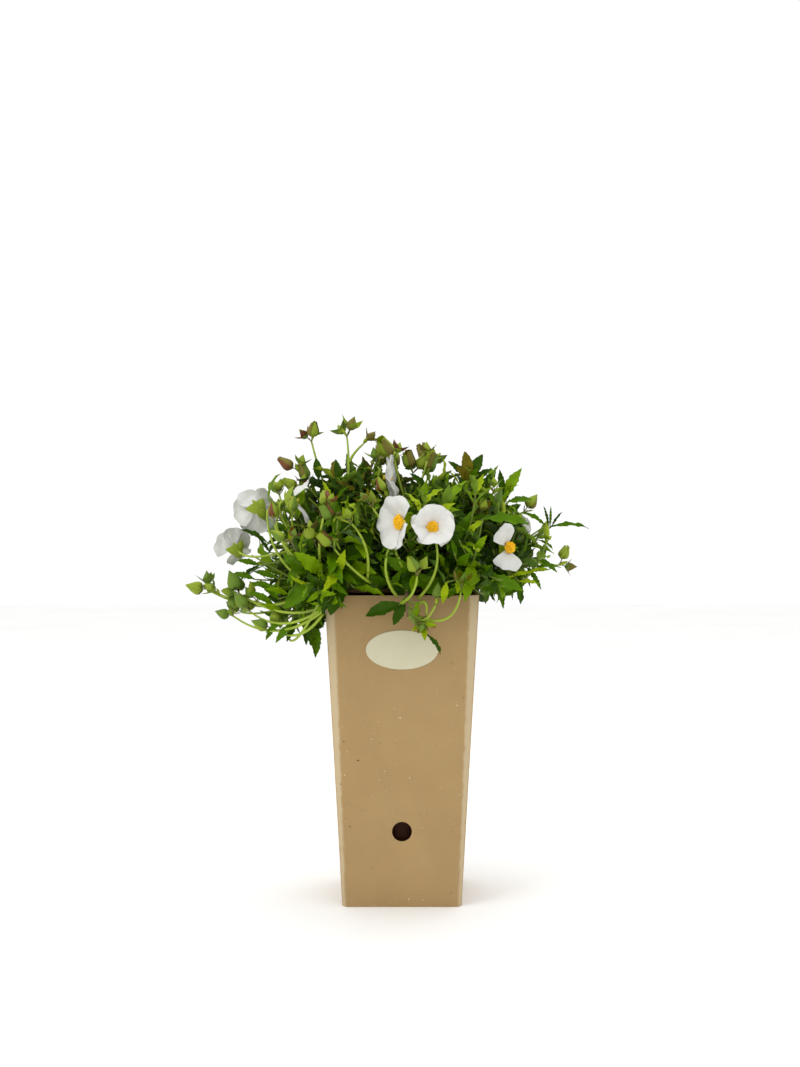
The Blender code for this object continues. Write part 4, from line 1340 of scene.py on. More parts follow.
# %% Places of the buds and long stalks
# Heads of buds: where their stalk parts, in millimetres, and how many buds it carries
BUD_HEADS = (
    ((-72, -5, 360), 3),
    ((-82, -8, 336), 2),
    ((-79, -12, 321), 2),
    ((-84, -54, 300), 1),
    ((-97, -12, 317), 2),
    ((-19, -12, 340), 1),
    ((-6, -10, 346), 2),
    ((20, -5, 345), 1),
    ((97, -4, 304), 1),
    ((124, -14, 262), 2),
    ((-153, -12, 242), 2),
    ((-143, -20, 239), 1),
    ((-127, -6, 224), 2),
    ((-112, 66, 296), 2),
    ((24, 104, 292), 3),
    ((-14, 66, 350), 2),
    ((24, 58, 344), 3),
)
BUD_HEADS = [(mm(place), count) for place, count in BUD_HEADS]

# Long arching stalks that show from the front: foot, bend and head in millimetres, and the buds on it
ARCHES = (
    ((-4, -66, 240), (-22, -88, 262), (-1, -83, 294), 0),
    ((12, -68, 238), (34, -90, 260), (22, -81, 291), 0),
    ((-2, -70, 234), (10, -98, 240), (11, -98, 256), 2),
    ((-26, -70, 254), (-22, -94, 278), (-37, -92, 294), 2),
    ((-60, -66, 256), (-64, -98, 280), (-56, -84, 306), 2),
    ((-70, -30, 246), (-104, -44, 266), (-106, -22, 305), 0),
    ((-60, -34, 250), (-92, -48, 272), (-98, -44, 294), 1),
    ((10, -72, 226), (40, -84, 212), (44, -84, 246), 2),
    ((8, -74, 228), (16, -80, 214), (25, -82, 234), 1),
    ((12, -72, 234), (20, -80, 240), (18, -78, 226), 2),
    ((-57, -60, 231), (-94, -46, 198), (-132, -24, 222), 2),
    ((-57, -58, 233), (-88, -44, 216), (-127, -28, 240), 3),
    ((-58, -60, 232), (-90, -50, 207), (-118, -32, 226), 2),
    ((-60, -56, 226), (-78, -52, 200), (-98, -40, 213), 2),
    ((-72, -40, 244), (-96, -40, 226), (-112, -34, 234), 1),
    ((-36, -62, 262), (-50, -86, 274), (-51, -84, 294), 2),
    ((-44, -12, 312), (-41, -6, 345), (-44, -2, 364), 2),
    ((-41.5, -6, 344), (-40, -8, 350), (-31, -8, 358), 1),
    ((-60, -60, 240), (-82, -50, 196), (-88, -36, 206), 0),
    ((-82, -30, 262), (-100, -40, 288), (-97, -30, 300), 1),
    ((-24, -66, 250), (-40, -92, 262), (-50, -88, 276), 2),
    ((0, -70, 262), (-12, -86, 292), (-22, -76, 306), 2),
)
ARCHES = [(*map(mm, route), buds) for *route, buds in ARCHES]
print("heads of buds:", len(BUD_HEADS), "long stalks:", len(ARCHES))

# %% Places of the long leaves
# Leaves that reach out of the crown on their own: foot and tip in millimetres, kind of blade and tint
LONG_LEAVES = (
    ((116, -24, 292), (151, -24, 298), "slender", "mid"),
    ((115, -24, 292), (112, -24, 311), "slender", "deep"),
    ((116, -24, 292), (117, -26, 310), "slender", "mid"),
    ((117, -24, 292), (126, -24, 307), "slender", "deep"),
    ((112, -26, 293), (94, -30, 308), "narrow_curled", "mid"),
    ((106, -28, 282), (122, -28, 276), "narrow_curled", "mid"),
    ((104, -26, 268), (124, -26, 258), "narrow", "mid"),
    ((0, -74, 234), (-28, -76, 227), "oval", "deep"),
    ((3, -74, 236), (-7, -78, 219), "oval", "deep"),
    ((18, -78, 212), (34, -76, 196), "narrow_curled", "deep"),
    ((14, -78, 219), (26, -80, 219), "oval", "lime"),
    ((14, -78, 230), (4, -82, 224), "oval", "lime"),
    ((16, -78, 221), (7, -82, 213), "cupped", "lime"),
    ((16, -78, 219), (17, -84, 206), "cupped", "lime"),
    ((33, -84, 251), (30, -88, 234), "cupped", "lime"),
    ((43, -80, 256), (41, -84, 241), "cupped", "lime"),
    ((12, -78, 236), (8, -84, 222), "lance", "bright"),
    ((80, -8, 314), (94, -12, 340), "broad", "bright"),
    ((82, -8, 312), (86, -10, 332), "lance", "mid"),
    ((52, -14, 330), (38, -18, 346), "lance", "deep"),
    ((53, -14, 330), (50, -18, 352), "oval", "olive"),
    ((54, -14, 329), (63, -18, 350), "oval", "deep"),
    ((55, -14, 327), (71, -16, 340), "broad", "deep"),
    ((52, -14, 327), (44, -24, 340), "oval", "olive"),
    ((54, -14, 326), (58, -26, 338), "oval", "mid"),
    ((24, -12, 322), (38, -18, 338), "broad", "deep"),
    ((20, -12, 322), (8, -18, 336), "lance", "deep"),
    ((62, -12, 318), (73, -16, 338), "broad_wavy", "deep"),
    ((-49, -12, 326), (-52, -16, 346), "broad", "deep"),
    ((-34, -10, 322), (-28, -14, 341), "lance", "deep"),
    ((-72, -16, 226), (-70, -18, 191), "lance_curled", "mid"),
    ((61, -62, 298), (98, -66, 299), "lance_wavy", "mid"),
    ((84, -44, 254), (100, -48, 259), "narrow", "lime"),
    ((90, -44, 250), (106, -46, 250), "lance", "lime"),
    ((70, -52, 249), (84, -58, 256), "narrow", "lime"),
    ((66, -54, 246), (79, -60, 243), "narrow", "bright"),
    ((98, -36, 257), (115, -38, 261), "narrow", "lime"),
    ((-36, -66, 246), (-12, -74, 243), "lance", "bright"),
    ((-44, -66, 262), (-20, -80, 262), "broad_wavy", "bright"),
    ((77, -34, 249), (79, -40, 229), "narrow", "mid"),
    ((88, -30, 252), (96, -34, 230), "lance_curled", "deep"),
    ((98, -28, 260), (110, -32, 244), "narrow", "mid"),
    ((-74, -20, 224), (-76, -22, 198), "lance", "deep"),
    ((-66, -18, 214), (-69, -20, 188), "lance", "mid"),
    ((-98, -26, 216), (-108, -28, 204), "lance", "mid"),
    ((-100, -36, 232), (-118, -38, 244), "lance", "mid"),
    ((-96, -34, 236), (-110, -36, 252), "broad", "mid"),
    ((-92, -38, 226), (-108, -42, 234), "broad", "bright"),
    ((-92, -44, 218), (-106, -46, 212), "lance", "mid"),
    ((-84, -46, 218), (-98, -50, 204), "broad", "mid"),
    ((-80, -44, 222), (-90, -48, 204), "lance", "deep"),
    ((-104, -30, 244), (-122, -30, 252), "lance_curled", "mid"),
    ((-88, -40, 240), (-104, -46, 246), "broad", "bright"),
    ((-106, -22, 280), (-128, -20, 293), "narrow", "deep"),
    ((-116, -22, 251), (-134, -20, 258), "lance", "mid"),
    ((-112, -20, 262), (-130, -18, 250), "narrow", "deep"),
    ((-112, -24, 262), (-129, -26, 268), "lance", "mid"),
    ((-98, -24, 252), (-116, -26, 259), "broad", "mid"),
    ((-104, -20, 272), (-113, -22, 285), "narrow", "deep"),
    ((84, -10, 312), (103, -14, 316), "broad", "mid"),
    ((80, -10, 318), (78, -14, 338), "lance", "deep"),
    ((-66, -10, 330), (-68, -12, 347), "oval", "deep"),
)
LONG_LEAVES = [(mm(foot), mm(tip), kind, tint) for foot, tip, kind, tint in LONG_LEAVES]
print("long leaves:", len(LONG_LEAVES))

# %% Places of the outer shoots and of the openings
# Leafy shoots that stand out of the crown: foot, bend and tip, in millimetres
OUTSTANDING = (
    ((40, -46, 262), (54, -56, 290), (57, -50, 322)),
    ((56, -10, 290), (66, -12, 310), (70, -10, 326)),
    ((12, -8, 304), (24, -12, 316), (30, -8, 326)),
    ((-42, -10, 306), (-50, -14, 320), (-54, -10, 330)),
    ((96, -30, 252), (110, -36, 268), (114, -30, 286)),
    ((-84, -30, 286), (-98, -34, 300), (-104, -30, 314)),
    ((-84, -20, 250), (-104, -24, 262), (-118, -22, 270)),
    ((84, -20, 266), (100, -26, 278), (115, -24, 291)),
    ((0, 70, 300), (4, 84, 320), (2, 88, 336)),
    ((70, 60, 280), (84, 70, 300), (92, 72, 316)),
    ((-66, 60, 280), (-84, 70, 296), (-94, 72, 314)),
)
OUTSTANDING = [tuple(map(mm, route)) for route in OUTSTANDING]
OUTSTANDING_SIZE = 1.16

# Places kept open: the middle and the half widths, in millimetres, of rounded spaces with no leaves
OPENINGS = (
    ((12, -112, 262), (40, 36, 30)),
    ((-24, -104, 236), (26, 44, 14)),
    ((-104, -50, 268), (26, 34, 26)),
    ((-59, -104, 280), (10, 26, 24)),
    ((28, -96, 230), (24, 34, 12)),
    ((60, -60, 236), (18, 50, 10)),
)
OPENINGS = [(mm(middle), mm(half)) for middle, half in OPENINGS]
print("outer shoots:", len(OUTSTANDING), "openings:", len(OPENINGS))


# %% Tests for a free place
def owner(point):
    """The mass whose heart lies nearest to a point."""
    return min(HEARTS, key=lambda name: (HEARTS[name] - point).length)


def in_dome(point, size):
    """Whether a point lies in the crown's outline, drawn smaller or larger by size. Its right is squarer."""
    out = point - DOME_HEART
    half, power = (DOME_RIGHT, DOME_RIGHT_POWER) if out.x > 0 else (DOME, DOME_POWER)
    high = half.z if out.z > 0 else DOME_DROOP
    return (abs(out.x) / half.x) ** power + (out.y / half.y) ** 2 + (out.z / high) ** 2 < size * size


def far_out(out, half):
    """How far out a way reaches, squared, as a share of three half widths."""
    return (out.x / half.x) ** 2 + (out.y / half.y) ** 2 + (out.z / half.z) ** 2


def in_opening(point):
    return any(far_out(point - middle, half) < 1 for middle, half in OPENINGS)


def off_pot(point):
    """Above the rim, or outside the sleeve."""
    if point.z > SLEEVE_HEIGHT + POT_CLEARANCE:
        return True
    return max(abs(point.x), abs(point.y)) > sleeve_half(point.z) + POT_CLEARANCE


def off_blooms(point):
    """Clear of the petals of every flower, of the space in front of them, and of the view from the front."""
    for heart, way, *_ in BLOOMS:
        out = point - heart
        in_view = 1.15 if heart.y < -40 * MM else 0.85
        if heart.y < 0 and out.y < 3 * MM and math.hypot(out.x, out.z) < in_view * PETAL_LENGTH:
            return False
        ahead = out.dot(way)
        if BEHIND_PETALS < ahead < BEFORE_PETALS:
            aside = math.sqrt(max(0.0, out.length_squared - ahead * ahead))
            if aside < PETAL_LENGTH * between(1.05, 0.6, max(0.0, ahead) / BEFORE_PETALS):
                return False
    return True


def off_limbs(point):
    return LIMB_TREE.find(point)[2] > LIMB_CLEARANCE


# %% Helpers for lines and directions
def steps_between(a, b):
    count = max(2, math.ceil((b - a).length / LIMB_STEP))
    return [a.lerp(b, i / count) for i in range(count + 1)]


def along_line(points, place):
    """The point and the way of a line at a length along it."""
    for a, b in zip(points, points[1:]):
        step = (b - a).length
        if place <= step or b is points[-1]:
            return a.lerp(b, min(1.0, place / step)), (b - a).normalized()
        place -= step


def line_length(points):
    return sum((b - a).length for a, b in zip(points, points[1:]))


def turned(way, axis, angle):
    return Matrix.Rotation(angle, 3, axis) @ way


def side_of(way, angle):
    """A direction square to a way, turned about it by an angle."""
    return turned(way.orthogonal().normalized(), way, angle)


def blade_frame(way, face):
    """A turn whose x runs along way and whose z faces as nearly as it can to face."""
    x = way.normalized()
    y = face.cross(x)
    if y.length < 1e-6:
        y = x.orthogonal()
    y.normalize()
    return Matrix((x, y, x.cross(y))).transposed()


def facing(way):
    return way.to_track_quat("Z", "Y").to_matrix().to_4x4()


# %% Find the points of the limbs to keep clear of
limb_points = [
    point
    for line in (stem_line, *bough_lines.values())
    for a, b in zip(line, line[1:])
    for point in steps_between(a, b)
]
LIMB_TREE = KDTree(len(limb_points))
for i, point in enumerate(limb_points):
    LIMB_TREE.insert(point, i)
LIMB_TREE.balance()
print("points to keep clear of along the limbs:", len(limb_points))


# %% Grow one mass
class Mass:
    """One mass of foliage: what grows on its stem, noted as places for the shapes made above."""

    def __init__(self, name, seed, taken):
        self.name = name
        self.draw = random.Random(seed)
        self.heart = HEARTS[name]
        self.sides = own_space(name)
        self.floor = FLOORS.get(name, HIGHER_FLOORS.get(name, CROWN_FLOOR))
        self.lift = DROOP if name in FLOORS else LIFT
        self.size = 1.0
        self.taken = taken
        self.line = LINES[name][ENDS[name]:]
        whole = line_length(self.line)
        self.feet = [along_line(self.line, whole * i / STALK_FEET)[0] for i in range(3, STALK_FEET)]
        self.twigs, self.stalks, self.pedicels = [], [], []
        self.leaves, self.long_leaves, self.bracts = [], [], []
        self.buds = []

    def open_at(self, point, over=0.0):
        """Whether a shoot or leaf may pass a point. A leaf's tip may reach a little over the outline."""
        return (
            point.z > self.floor
            and in_dome(point, self.size + over / DOME.z)
            and inside(self.sides, point, -SPACE_OVERLAP - over)
            and off_pot(point)
            and not in_opening(point)
            and off_blooms(point)
            and off_limbs(point)
        )

    def cube(self, point):
        return tuple(int(axis // LEAF_ROOM) for axis in point)

    def crowded(self, point):
        x, y, z = self.cube(point)
        return any(
            (other - point).length < LEAF_ROOM
            for i, j, k in product((-1, 0, 1), repeat=3)
            for other in self.taken.get((x + i, y + j, z + k), ())
        )

    def leaf(self, foot, way, face, length, age):
        """A leaf where it fits: as drawn, or shorter, or turned back towards the heart of the mass."""
        back = (self.heart - foot).normalized()
        for turn_back, share in product((0, LEAF_TURN_BACK), LEAF_SHARES):
            aim = (way + back * turn_back).normalized()
            spine = [foot + aim * (length * share * part) for part in LEAF_SPINE]
            free = all(map(self.open_at, spine, (0, OVERREACH / 2, OVERREACH)))
            if free and not any(map(self.crowded, spine)):
                self.leaves.append((foot, aim, face, length * share, age))
                for point in spine:
                    self.taken.setdefault(self.cube(point), []).append(point)
                return

    def leaves_along(self, points, first, size):
        """Opposite pairs of leaves, each pair turned a quarter, and smaller and steeper towards the tip."""
        whole = line_length(points)
        place = first
        whole_way = points[-1] - points[0]
        side = turned(
            whole_way.orthogonal().normalized(), whole_way.normalized(), self.draw.uniform(0, math.tau)
        )
        nodes = []
        while place < whole + 0.1 * INTERNODE:
            foot, along = along_line(points, min(place, whole))
            side = turned((side - along * side.dot(along)).normalized(), along, math.pi / 2)
            age = 1 - place / whole
            lean = between(TIP_ANGLE, LEAF_ANGLE, min(1, 2.2 * age + 0.1))
            length = between(TIP_LEAF, LEAF_LENGTH, min(1, 2.0 * age)) * size
            for way in (side, -side):
                open_by = lean + self.draw.uniform(-0.3, 0.3)
                out = along * math.cos(open_by) + way * math.sin(open_by)
                face = along * math.sin(open_by) - way * math.cos(open_by) + UP * 0.35
                face = turned(face, out, self.draw.uniform(-0.35, 0.35))
                self.leaf(foot, out, face, length * self.draw.uniform(0.8, 1.15), age)
            nodes.append((foot, along, side))
            place += INTERNODE * self.draw.uniform(0.8, 1.25)
        return nodes

    def run(self, start, way, length, lift):
        """The line of a shoot, which bends as it grows and turns back or stops at the edge of its space."""
        points = [start]
        for _ in range(round(length / SHOOT_STEP)):
            back = (self.heart - points[-1]).normalized()
            wobble = Vector([self.draw.gauss(0, WOBBLE) for _ in range(3)])
            for turn_back in (0, TURN_BACK):
                aim = (way + wobble + UP * lift + back * turn_back).normalized()
                reach = points[-1] + aim * SHOOT_STEP
                if self.open_at(reach):
                    break
            else:
                return points
            points.append(reach)
            way = aim
        return points

    def shoot(self, start, way, length):
        """A leafy shoot with side shoots, which may end in a head of buds."""
        self.size = self.draw.uniform(0.80, 1.0)
        points = self.run(start, way, length, self.lift)
        if len(points) < 3:
            return
        self.twigs.append((points, SHOOT_RADII))
        nodes = self.leaves_along(points, 0.5 * INTERNODE, 1.0)
        for foot, along, side in nodes[1:-1]:
            for turn in (side, -side):
                if self.draw.random() < SIDE_SHOOT_SHARE:
                    aim = (along * 0.8 + turned(turn, along, math.pi / 2)).normalized()
                    self.side_shoot(foot, aim)
        tip, along = points[-1], (points[-1] - points[-2]).normalized()
        share = TIP_BUDS_LEFT if tip.x < 0 else TIP_BUDS_RIGHT
        if tip.z > DOME_HEART.z and self.draw.random() < share:
            self.tip_buds(tip, along)

    def side_shoot(self, start, way):
        points = self.run(start, way, SIDE_SHOOT * self.draw.uniform(0.6, 1.3), 1.5 * self.lift)
        if len(points) > 1:
            self.twigs.append((points, SIDE_SHOOT_RADII))
            self.leaves_along(points, 0.4 * INTERNODE, 0.85)

    def tip_buds(self, tip, along):
        """Two or three buds on short stalks past the tip of a shoot, where there is room."""
        head = tip + (along + UP * BUD_RISE).normalized() * BUD_REACH
        if off_blooms(head) and not self.crowded(head):
            self.pedicels.append(([tip, tip.lerp(head, 0.5) + UP * 0.4 * MM, head], PEDICEL_RADII))
            self.bud_cluster(head, (along + UP * 0.5).normalized(), self.draw.choice((1, 2, 2, 3)))

    def bud_cluster(self, head, way, count):
        """Buds on short bent stalks that part at head, with two small bracts under them."""
        side = side_of(way, self.draw.uniform(0, math.tau))
        spread = BUD_SPREAD if count > 1 else LONE_BUD_SPREAD
        for bud in range(count):
            out = turned(side, way, bud * math.tau / count)
            aim = (way + out * spread).normalized()
            reach = PEDICEL * self.draw.uniform(0.75, 1.1)
            foot = head + aim * reach
            bend = head + (aim + way * 0.35).normalized() * reach * 0.5
            self.pedicels.append(([head, bend, foot], PEDICEL_RADII))
            self.buds.append((foot, (aim + UP * 0.1).normalized(), self.draw.uniform(0.92, 1.2)))
        for way_out in (side, -side):
            lean = (way + turned(way_out, way, math.pi / 2) * 1.1).normalized()
            self.bracts.append((head, lean, way, BRACT * self.draw.uniform(0.7, 1.1)))

    def outstanding(self, points):
        """A leafy shoot that stands out of the crown's outline."""
        self.size = OUTSTANDING_SIZE
        self.twigs.append((points, SHOOT_RADII))
        self.leaves_along(points, INTERNODE, 1.0)

    def take_foot(self, head):
        """The free place on the outer part of the stem nearest to head, where its stalk grows."""
        foot = min(self.feet, key=lambda point: (point - head).length)
        if len(self.feet) > 1:
            self.feet.remove(foot)
        return foot

    def stalk(self, foot, lean, head, radii, count=0):
        """A bare bent stalk, which parts at its head into buds on short stalks."""
        self.stalks.append((arc(foot, lean, head, STALK_STEPS), radii))
        if count:
            self.bud_cluster(head, ((head - lean).normalized() + UP * BUD_RISE).normalized(), count)

    def bud_head(self, head, count):
        """A stalk with buds, which sags where it reaches out sideways."""
        foot = self.take_foot(head)
        lean = foot.lerp(head, 0.5) - UP * STALK_SAG * (head - foot).length
        self.stalk(foot, lean, head, STALK_RADII, count)

    def bloom_stalk(self, heart, way):
        back = heart - way * (CALYX_LENGTH - CALYX_LAP)
        foot = self.take_foot(back)
        reach = (back - foot).length
        lean = back - way * BLOOM_NECK * reach - UP * BLOOM_SAG * reach
        self.stalk(foot, lean, back, STALK_RADII)

    def long_leaf(self, foot, tip, kind, tint):
        start = self.take_foot(foot)
        bend = start.lerp(foot, 0.5) - UP * TWIG_SAG
        self.twigs.append((arc(start, bend, foot, TWIG_STEPS), SHOOT_RADII))
        self.long_leaves.append((foot, (tip - foot).normalized(), FACE_OUT, (tip - foot).length, kind, tint))

    def flower(self):
        """The heads of buds, the flowers and the long leaves that belong to this mass."""
        for head, count in BUD_HEADS:
            if owner(head) == self.name:
                self.bud_head(head, count)
        for foot, lean, head, count in ARCHES:
            if owner(head) == self.name:
                self.stalk(foot, lean, head, ARCH_RADII, count)
        for heart, way, *_ in BLOOMS:
            on_arch = any((head - heart).length < NEAR_HEART for _, _, head, count in ARCHES if not count)
            if owner(heart) == self.name and not on_arch:
                self.bloom_stalk(heart, way)
        for foot, tip, kind, tint in LONG_LEAVES:
            if owner(foot) == self.name:
                self.long_leaf(foot, tip, kind, tint)
        for foot, bend, tip in OUTSTANDING:
            if owner(tip) == self.name:
                self.outstanding(arc(foot, bend, tip, TWIG_STEPS))

    def branch(self):
        """Leafy shoots all round the stem, opening less towards its tip."""
        out = (self.line[-1] - self.line[0]).normalized()
        shoots = FEWER_SHOOTS.get(self.name, SHOOTS_A_MASS)
        for i in range(shoots):
            share = (i + 1) / shoots
            start = self.line[round(share * (len(self.line) - 1))]
            aside = side_of(out, i * GOLDEN + self.draw.uniform(-0.3, 0.3))
            open_by = between(OPEN_FOOT, OPEN_TIP, share)
            way = out * math.cos(open_by) + aside * math.sin(open_by)
            self.shoot(start, way, SHOOT_LENGTH * self.draw.uniform(0.75, 1.2))


# %% Grow the plant
taken = {}
masses = [Mass(name, seed, taken) for seed, name in enumerate(HEARTS, start=FIRST_SEED)]
for mass in masses:
    mass.flower()
for mass in masses:
    mass.branch()
for mass in masses:
    print(mass.name, "twigs", len(mass.twigs), "leaves", len(mass.leaves), "buds", len(mass.buds))
print("leaves in all:", sum(len(mass.leaves) for mass in masses))

# %% [markdown]
# ## Colours of the leaves
#
# Leaves low on a shoot are a deeper green and those round the shoots' tips are brighter, and the young
# growth by the buds is lime with a touch of red-brown. Leaves deep inside the crown are dealt darker
# tints too. That is painted shade, for the shade that the crown casts on its own inside. A mottled
# image would be lost in export, so the tints are plain base colours dealt out by the spray: each leaf
# goes to the piece of its own tint. A faint mottle, fine veins from the leaf's own UV map and a paler
# underside finish each tint.

# %% Build the leaf finishes
# The darker tints are dealt to leaves inside the crown, and there they are painted shade
LEAF_TINTS = {
    "deep": (rgb(54, 86, 2), rgb(40, 68, 0)),
    "mid": (rgb(84, 120, 0), rgb(66, 102, 0)),
    "bright": (rgb(118, 150, 2), rgb(98, 132, 0)),
    "lime": (rgb(156, 176, 16), rgb(132, 156, 8)),
    "olive": (rgb(112, 106, 12), rgb(88, 78, 8)),
}
VEIN_DEPTH = 0.4 * MM
PALE_SHARE = 0.6


def add_relief(tree, shader, bumps, height, strength, depth):
    """A coarser bump on top of a finish's own grain."""
    relief = new_node(tree, "ShaderNodeBump", Strength=strength, Distance=depth)
    feed(tree, height, relief.inputs["Height"])
    feed(tree, bumps.outputs["Normal"], relief.inputs["Normal"])
    feed(tree, relief.outputs["Normal"], shader.inputs["Normal"])


def leaf_finish(name, light, dark, roughness=0.42, veins=0.5):
    """Mottled green with veins along the leaf, and a paler underside."""
    made, tree, shader, spots, patches, bumps = mottled(
        name, light, dark, roughness, scale=90.0, grain=0.15, Specular_IOR_Level=0.08
    )
    place = new_node(tree, "ShaderNodeSeparateXYZ")
    feed(tree, spots.outputs["UV"], place.inputs[0])
    off_middle = maths(tree, "ABSOLUTE", maths(tree, "SUBTRACT", place.outputs["Y"], 0.5))
    slant = maths(tree, "MULTIPLY_ADD", off_middle, -1.2, place.outputs["X"])
    ribs = maths(tree, "SINE", maths(tree, "MULTIPLY", slant, 60.0))
    midrib = maths(tree, "MULTIPLY", off_middle, 14.0, clamp=True)
    add_relief(tree, shader, bumps, maths(tree, "MULTIPLY_ADD", ribs, 0.18, midrib), veins, VEIN_DEPTH)
    under = new_node(tree, "ShaderNodeNewGeometry")
    backs = maths(tree, "MULTIPLY", under.outputs["Backfacing"], PALE_SHARE)
    pale = (*(between(part, 0.30, 0.15) for part in light[:3]), 1)
    feed(tree, mixed(tree, backs, patches.outputs["Color"], pale), shader.inputs["Base Color"])
    return made


LEAF_FINISHES = {tint: leaf_finish(f"leaf_{tint}", *pair) for tint, pair in LEAF_TINTS.items()}
print("leaf finishes:", ", ".join(LEAF_FINISHES))

# %% Deal out the leaves by tint
NARROW_LEAVED = ("right_top", "right_middle", "right_low", "left_low", "left_middle", "left_top")
SLENDER = ("narrow", "narrow", "narrow_curled", "lance_curled", "lance")
SLENDER_SHARE = 0.55
YOUNG_AGE = 0.3
BRACT_TINTS = ("lime", "lime", "olive", "bright")
TINTS_BY_YOUTH_AND_PAINTED_LIGHT = ((0.95, "lime"), (0.62, "bright"), (0.22, "mid"), (-math.inf, "deep"))
DEEPER_LEFT = 0.12
OLIVE_SHARE = 0.3


def tint_of(foot, age, draw):
    """Painted shade deep in the crown, darker low on a shoot and at the left, bright at tips, olive at top.
    """
    depth = math.sqrt(far_out(foot - DOME_HEART, DOME))
    # The depth term is painted shade: leaves inside the crown get darker tints
    youth_and_painted_light = 0.75 * (1 - age) + 0.6 * (depth - 0.6) + draw.uniform(-0.35, 0.35)
    if foot.x < -40 * MM and foot.z < 300 * MM:
        youth_and_painted_light -= DEEPER_LEFT
    if foot.z > 312 * MM and foot.x < 10 * MM and draw.random() < OLIVE_SHARE:
        return "olive"
    return next(tint for least, tint in TINTS_BY_YOUTH_AND_PAINTED_LIGHT if youth_and_painted_light > least)


def leaf_place(foot, way, face, length, width=1.0):
    """The matrix of a leaf from its foot, its way, the side that it faces and its size."""
    size = Matrix.Diagonal((length, length * width, length, 1))
    return Matrix.Translation(foot) @ blade_frame(way, face).to_4x4() @ size


sprays = {tint: [] for tint in LEAF_TINTS}
draw = random.Random(77)
for mass in masses:
    for *place, age in mass.leaves:
        if mass.name in NARROW_LEAVED and draw.random() < SLENDER_SHARE:
            kind = draw.choice(SLENDER)
        else:
            kind = draw.choice(YOUNG if age < YOUNG_AGE else MATURE)
        place = leaf_place(*place, width=draw.uniform(0.85, 1.1))
        sprays[tint_of(place.translation, age, draw)].append((BLADES[kind], place))
    for *place, kind, tint in mass.long_leaves:
        sprays[tint].append((BLADES[kind], leaf_place(*place)))
    for place in mass.bracts:
        sprays[draw.choice(BRACT_TINTS)].append((BLADES["cupped"], leaf_place(*place)))
for tint, copies in sprays.items():
    hand_over(joined(f"leaves_{tint}", copies), "foliage", LEAF_FINISHES[tint], *MASS_NODES)

# %% Join the twigs and stalks
MASS_STEM_RADII = (1.4 * MM, 0.9 * MM)
twig_green, *_ = mottled("green_twig", rgb(112, 136, 28), rgb(88, 104, 22), 0.6, scale=200.0, grain=0.3)
twig_brown, *_ = mottled("brown_twig", rgb(112, 92, 56), rgb(78, 62, 40), 0.8, scale=200.0, grain=0.5)
stalk_lime, *_ = mottled("lime_stalk", rgb(154, 176, 44), rgb(132, 156, 30), 0.5, scale=120.0, grain=0.2)
pedicel_brown, *_ = mottled("brown_stalk", rgb(122, 124, 74), rgb(92, 82, 54), 0.6, scale=200.0, grain=0.2)
for name, lines, sides, finish in (
    ("twig_stems", [(mass.line, MASS_STEM_RADII) for mass in masses], 2, twig_brown),
    ("twigs", [twig for mass in masses for twig in mass.twigs], 1, twig_green),
    ("stalks", [stalk for mass in masses for stalk in mass.stalks], 2, stalk_lime),
    ("bud_stalks", [stalk for mass in masses for stalk in mass.pedicels], 1, pedicel_brown),
):
    hand_over(tubes(name, lines, sides), "foliage", finish, *MASS_NODES)

# %% Join the buds
BUD_TINTS = {
    "lime": (rgb(134, 154, 4), rgb(108, 134, 0)),
    "green": (rgb(98, 128, 2), rgb(76, 106, 0)),
    "olive": (rgb(114, 106, 4), rgb(90, 76, 2)),
    "red": (rgb(114, 62, 8), rgb(86, 40, 4)),
}
BUD_COLOURS = {
    "left": (("green", "green", "lime"), ("green", "lime"), (0, 0, 3), 1.06),
    "top": (("lime", "olive", "green"), ("olive", "red", "lime", "green"), (1, 2, 3, 3), 1.1),
    "rest": (("lime", "lime", "green", "lime"), ("lime", "green", "olive", "red"), (0, 1, 2, 3, 3), 0.92),
}


def bud_zone(place):
    """The stalks at the left bear fresh green buds, and the sun has browned those at the top."""
    if place.x < -100 * MM and place.z < 290 * MM:
        return "left"
    return "top" if place.z > 330 * MM else "rest"


bud_places = {tint: [] for tint in BUD_TINTS}
draw = random.Random(78)
for mass in masses:
    for foot, way, size in mass.buds:
        tints, wing_tints, kinds, growth = BUD_COLOURS[bud_zone(foot)]
        kind = draw.choice(kinds)
        turn = facing(way) @ Matrix.Rotation(draw.uniform(0, math.tau), 4, "Z")
        place = Matrix.Translation(foot) @ turn @ Matrix.Scale(size * growth, 4)
        bud_places[draw.choice(tints)].append((BUDS[kind], place))
        bud_places[draw.choice(wing_tints)].append((WINGS[kind], place))
for heart, way, _, _, size, _ in BLOOMS:
    place = Matrix.Translation(heart - way * CALYX_LENGTH) @ facing(way) @ Matrix.Scale(size, 4)
    bud_places["lime"].append((CALYX, place))
for tint, places in bud_places.items():
    finish = leaf_finish(f"bud_{tint}", *BUD_TINTS[tint], roughness=0.5, veins=0.3)
    hand_over(joined(f"buds_{tint}", places), "foliage", finish, *MASS_NODES)

# %% [markdown]
# ## Flowers
#
# Five petals stand round the heart of each flower, each a little over its neighbour on one side and
# under it on the other, as they do in the bud. Some flowers have lost petals, and one its stamens. The
# stamens fill the cup by the golden angle, the rule by which seeds pack in a flower head.

# %% Place the petals and stamens
PETAL_OVERLAP = math.radians(10)
STAMENS = 84
TUFT = 5.6 * MM
TUFT_LEAN = 0.95
TUFT_FOOT = 0.6 * MM
STIGMA_HEIGHT = 4.4 * MM
NO_STAMENS = BLOOMS[3][0]
petal_blades, petal_feet, filaments, anthers, hearts = [], [], [], [], []
draw = random.Random(79)


def up_by(height):
    return Matrix.Translation((0, 0, height))


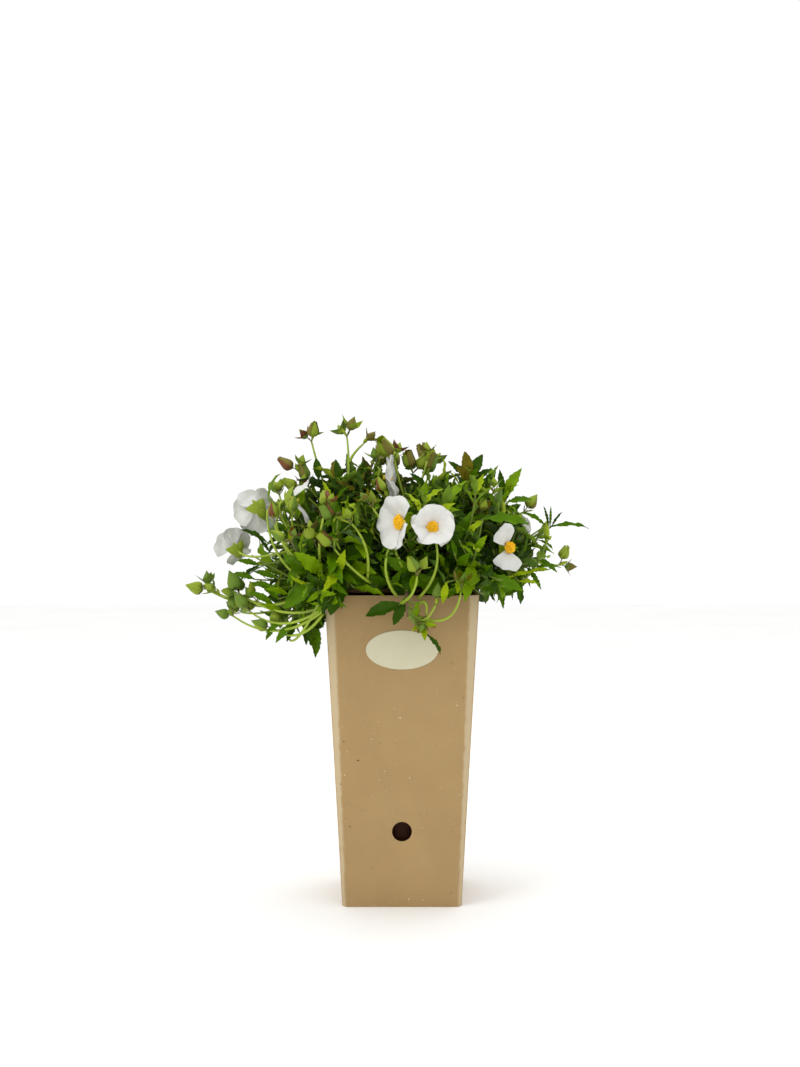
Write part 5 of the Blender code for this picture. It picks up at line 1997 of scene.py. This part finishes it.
for heart, way, cup, spin, size, left in BLOOMS:
    face = facing(way) @ Matrix.Rotation(spin, 4, "Z")
    at_heart = Matrix.Translation(heart) @ face @ Matrix.Scale(size, 4)
    for k in (k for k, stays in enumerate(left) if stays == "1"):
        turn = Matrix.Rotation((k + 2 / 3) * math.tau / 5 + math.pi / 2, 4, "Z")
        opened = Matrix.Rotation(-(cup + draw.uniform(-0.08, 0.08)), 4, "Y")
        place = at_heart @ turn @ opened @ Matrix.Rotation(PETAL_OVERLAP, 4, "X")
        for parts, part in zip((petal_feet, petal_blades), draw.choice(PETALS)):
            parts.append((part, place))
    for i in range(0 if heart == NO_STAMENS else STAMENS):
        share = math.sqrt((i + 0.5) / STAMENS)
        lean = Matrix.Rotation(i * GOLDEN, 4, "Z") @ Matrix.Rotation(share * TUFT_LEAN, 4, "Y")
        reach = TUFT * draw.uniform(0.85, 1.12) * between(1.0, 0.9, share)
        foot = at_heart @ lean @ up_by(TUFT_FOOT)
        filaments.append((FILAMENT, foot @ Matrix.Diagonal((1, 1, reach, 1))))
        anthers.append((ANTHER, foot @ up_by(reach) @ Matrix.Rotation(draw.uniform(0, 3), 4, "Z")))
    hearts += [(DISC, at_heart), (STIGMA, at_heart @ up_by(STIGMA_HEIGHT))]


CREASE_FAN = (2.5, 34, 1)
CREASE_STRENGTH = 0.5
CREASE_DEPTH = 0.5 * MM


def petal_finish(name, light, dark):
    """Thin white tissue: a faint mottle, a soft sheen and fine creases that fan out from the foot."""
    made, tree, shader, spots, _, bumps = mottled(
        name,
        light,
        dark,
        0.55,
        scale=120.0,
        grain=0.12,
        Sheen_Weight=0.15,
        Subsurface_Weight=0.12,
        Subsurface_Radius=(1.0, 1.0, 0.9),
        Subsurface_Scale=2 * MM,
    )
    fan = noise_of(tree, drawn_out(tree, spots.outputs["UV"], CREASE_FAN), Scale=1.0, Detail=3.0)
    add_relief(tree, shader, bumps, fan, CREASE_STRENGTH, CREASE_DEPTH)
    return made


filament_finish, *_ = mottled("filament", rgb(250, 206, 14), rgb(236, 178, 4), 0.5, scale=400.0, grain=0.1)
anther_finish, *_ = mottled("anther", rgb(255, 212, 10), rgb(244, 180, 2), 0.7, scale=500.0, grain=0.4)
pistil_finish, *_ = mottled("pistil", rgb(240, 220, 60), rgb(226, 200, 40), 0.5, scale=400.0, grain=0.2)
for name, copies, finish in (
    ("petals", petal_blades, petal_finish("white_petal", rgb(216, 216, 211), rgb(206, 206, 200))),
    ("petal_feet", petal_feet, petal_finish("petal_foot", rgb(216, 214, 194), rgb(212, 208, 178))),
    ("stamens", filaments, filament_finish),
    ("anthers", anthers, anther_finish),
    ("pistils", hearts, pistil_finish),
):
    hand_over(joined(name, copies), "foliage", finish, *MASS_NODES)
